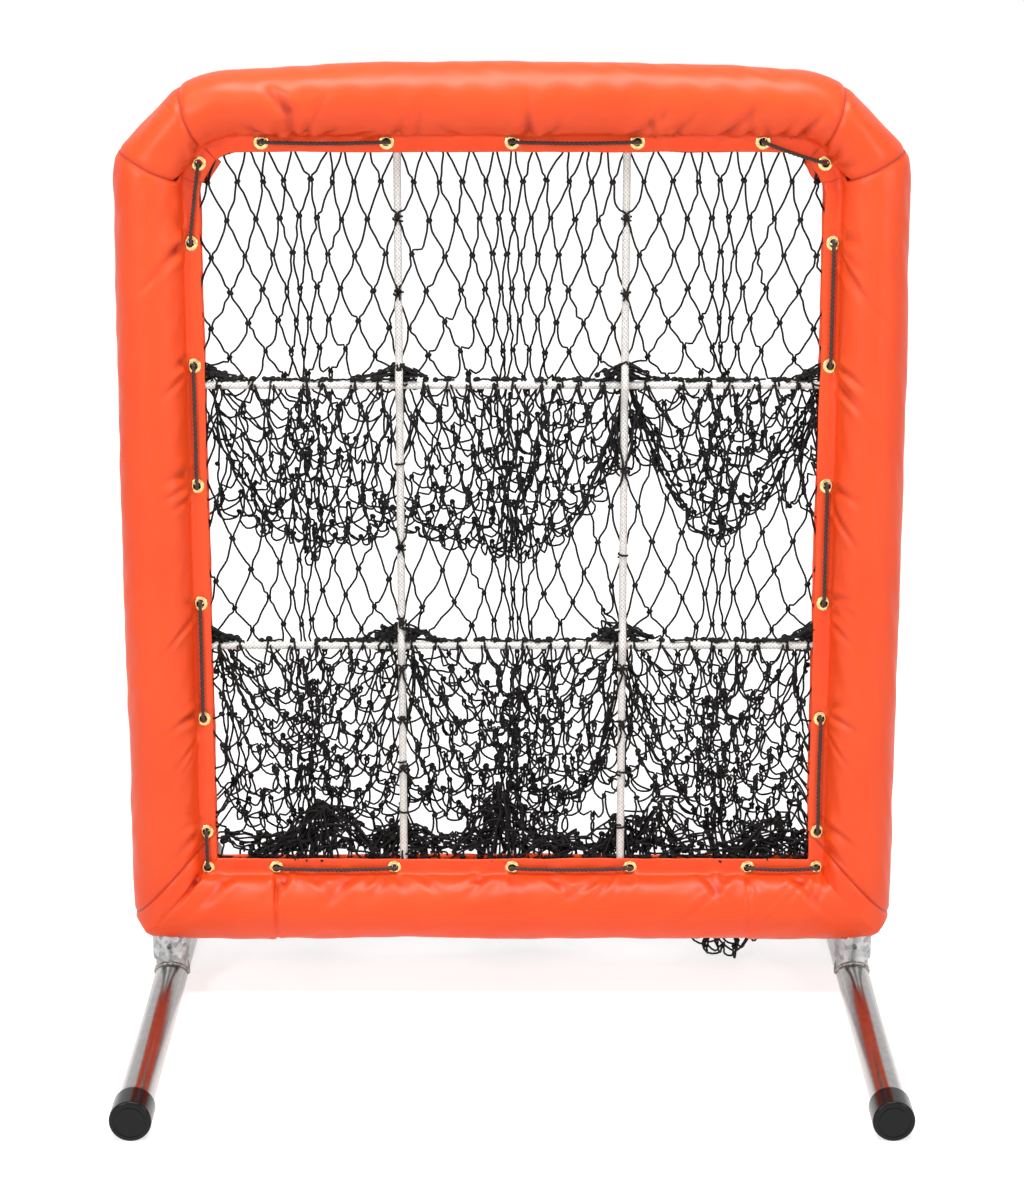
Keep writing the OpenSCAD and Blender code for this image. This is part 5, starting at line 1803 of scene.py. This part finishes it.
def hitches(pocket, cell):
    """Turns of twine that tie one pocket to its ropes, as lines of a few points."""
    turn = np.linspace(0, 1, strand_points)
    made = []
    for place in knots[held_knots & ~heaped_knots]:
        beside = np.abs(np.array(cell_x[1:3]) - place[0]).min() < mm
        level = pocket < 2 and abs(place[2] - row_end[pocket]) < 12 * mm
        if not cell_x[cell] - mm < place[0] < cell_x[cell + 1] - mm or not (beside or level):
            continue
        start, lead = rng.uniform(0, 2 * math.pi), rng.choice([-1, 1]) * rng.uniform(3, 7) * mm
        angle, radius = start + turn * 2.3 * math.pi, rope_r + 0.8 * twine_r
        across, upwards = np.cos(angle) * radius, np.sin(angle) * radius
        along_it = lead * turn
        if level:
            made.append(np.stack([place[0] + along_it, across, row_end[pocket] + upwards], 1))
        elif row_end[pocket] + 14 * mm < place[2] < row_top[pocket]:
            rope = cell_x[1 + int(place[0] > 0)]
            made.append(np.stack([rope + across, upwards, place[2] + along_it], 1))
    return made


# %% [markdown]
# ## Loose strands
# The mounds at the crossings and the tangle along the hem need more twine than the knots alone
# give. So short loose strands are strewn there: arches over the heaps, and flat ones along the
# ropes and the hem. All of them are random, from one seeded source, and so come out the same on
# every run.

# %% Loose strands
run = np.linspace(-1, 1, strand_points)
per_mound, per_rope, per_heap, per_hem = 13, 16, 7, 34


def spot(cell, least, most):
    """A random middle in a cell, and a random half length."""
    return rng.uniform(cell_x[cell], cell_x[cell + 1]), rng.uniform(least, most) * mm


def jitter(size):
    return rng.normal(0, size, strand_points) * mm


def rope_strands(pocket, cell):
    """Slack twine in mounds at the crossings, and lying along the level rope."""
    made = []
    on_rope = row_end[pocket] + rope_r
    for edge in cell_x:
        for _ in range(per_mound):
            middle, half = edge + rng.normal(0, 12) * mm, rng.uniform(10, 30) * mm
            x = middle + half * run + jitter(4)
            if abs(edge) > hem_x - mm:
                x = edge - np.sign(edge) * np.abs(x - edge)
            rise = 21 * np.clip(1 - np.abs(x - edge) / (44 * mm), 0, 1) * rng.uniform(0.1, 1)
            z = on_rope + (1.5 + rise + rng.uniform(-0.5, 4.5, strand_points)) * mm
            if cell_x[cell] <= x.mean() < cell_x[cell + 1]:
                made.append(np.stack([x, rng.uniform(-5, 8) * mm + jitter(2), z], 1))
    for _ in range(per_rope):
        middle, half = spot(cell, 6, 16)
        x = np.clip(middle + half * run, -hem_x, hem_x)
        z = on_rope + twine_r + rng.uniform(-0.3, 1.5, strand_points) * mm
        made.append(np.stack([x, rng.uniform(-3, 3) * mm + 0 * run, z], 1))
    return made


def hem_strands(cell):
    """Slack twine in arches over the heaps, and lying along the bottom hem."""
    made = []
    for middle, wide, high in heaps:
        for _ in range(per_heap):
            grow = rng.uniform(0.45, 1.05)
            x = middle + rng.normal(0, 0.3) * wide + 1.7 * wide * grow * run + jitter(6)
            arch = high * np.exp(-((1.35 * run) ** 2)) * grow + jitter(5.5)
            if cell_x[cell] <= middle < cell_x[cell + 1]:
                y = rng.uniform(3, 24) * mm + jitter(2)
                made.append(np.stack([x, y, hem_bottom_z + 9 * mm + np.maximum(arch, 0)], 1))
    for _ in range(per_hem):
        middle, half = spot(cell, 8, 24)
        x = np.clip(middle + half * run + jitter(4), -hem_x, hem_x)
        rise = rng.uniform(0, 26) + rng.uniform(-9, 9) * run + 7 * rng.random() * (1 - run**2)
        y = rng.uniform(2, 22) * mm + jitter(2)
        made.append(np.stack([x, y, hem_bottom_z + (8 + np.maximum(rise, 0)) * mm], 1))
    return made


# %% [markdown]
# ## The nine net pieces
# Each pocket is one piece. Its settled bars get a short stub at both ends, so that the twine
# leaves its knot upwards or downwards and not at a sharp angle. Hitches and loose strands are
# added, twine between the flaps is kept inside their gap, and the tree makes it all solid.

# %% Net pieces
pocket_names = ("top", "middle", "bottom")
cell_names = ("left", "centre", "right")
flap_x, flap_top_z, flap_low_z, pad_low_z = 380 * mm, 1093 * mm, 187 * mm, 150 * mm
twine_room, knot_room = 3.4 * mm, 1.5 * mm
stub_rise, stub_lean = 5.5 * mm, 2 * mm


def between_flaps(places, half):
    """Keeps the twine that reaches in between two flaps inside their gap."""
    x, z = np.abs(places[..., 0]), places[..., 2]
    held = ((x > flap_x) | (z > flap_top_z) | (z < flap_low_z)) & (z > pad_low_z)
    y = np.where(held, np.clip(places[..., 1], -half, half), places[..., 1])
    return np.stack([places[..., 0], y, z], -1)


def net_piece(pocket, cell):
    """The strands and knots of one pocket, made from the settled lines."""
    chosen = np.flatnonzero(
        (bar_row >= first_row[pocket]) & (bar_row < first_row[pocket + 1])
        & (bar_column > cell_edges[cell]) & (bar_column < cell_edges[cell + 1])
    )
    lines = points[chain[chosen]]
    lean = np.where(bar_lean[chosen] == 0, 1, -1) * stub_lean
    out = np.stack([lean, 0 * lean, stub_rise * np.sign(lines[:, 1, 2] - lines[:, 0, 2])], 1)
    back = np.stack([-lean, 0 * lean, stub_rise * np.sign(lines[:, -2, 2] - lines[:, -1, 2])], 1)
    beside = out * [1, 1, 0]
    lines = np.stack([lines[:, 0] + 0.6 * beside, lines[:, 0] + out, *lines[:, 1:-1].swapaxes(0, 1),
                      lines[:, -1] + back, lines[:, -1] - 0.6 * beside], 1)
    loose = np.array(rope_strands(pocket, cell) if pocket < 2 else hem_strands(cell))
    tied = np.reshape(hitches(pocket, cell), (-1, strand_points, 3))
    lines = between_flaps(np.concatenate([lines, tied, loose]), twine_room)
    seats = np.concatenate([points[np.unique(bar_ends[chosen])], loose[:, 0]])
    seats = between_flaps(seats, knot_room)
    flat = lines.reshape(-1, 3)
    number = np.arange(len(flat)).reshape(len(lines), -1)
    edges = np.stack([number[:, :-1], number[:, 1:]], 2).reshape(-1, 2)
    mesh = bpy.data.meshes.new("lines")
    mesh.from_pydata(np.concatenate([flat, seats]).tolist(), edges.tolist(), [])
    flag = mesh.attributes.new("knot", "BOOLEAN", "POINT")
    flag.data.foreach_set("value", np.arange(len(flat) + len(seats)) >= len(flat))
    name = f"{pocket_names[pocket]}_{cell_names[cell]}"
    source = link(bpy.data.objects.new("lines", mesh))
    piece = with_tree(f"{name}_twine", source, net_tree, net_inputs, {"Twine": twine_finish})
    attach(piece, "frame")
    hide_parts(f"net_{name}")
    return len(piece.data.polygons)


faces_made = [net_piece(pocket, cell) for pocket in range(3) for cell in range(3)]
print(f"net pieces have {min(faces_made)} to {max(faces_made)} faces each")
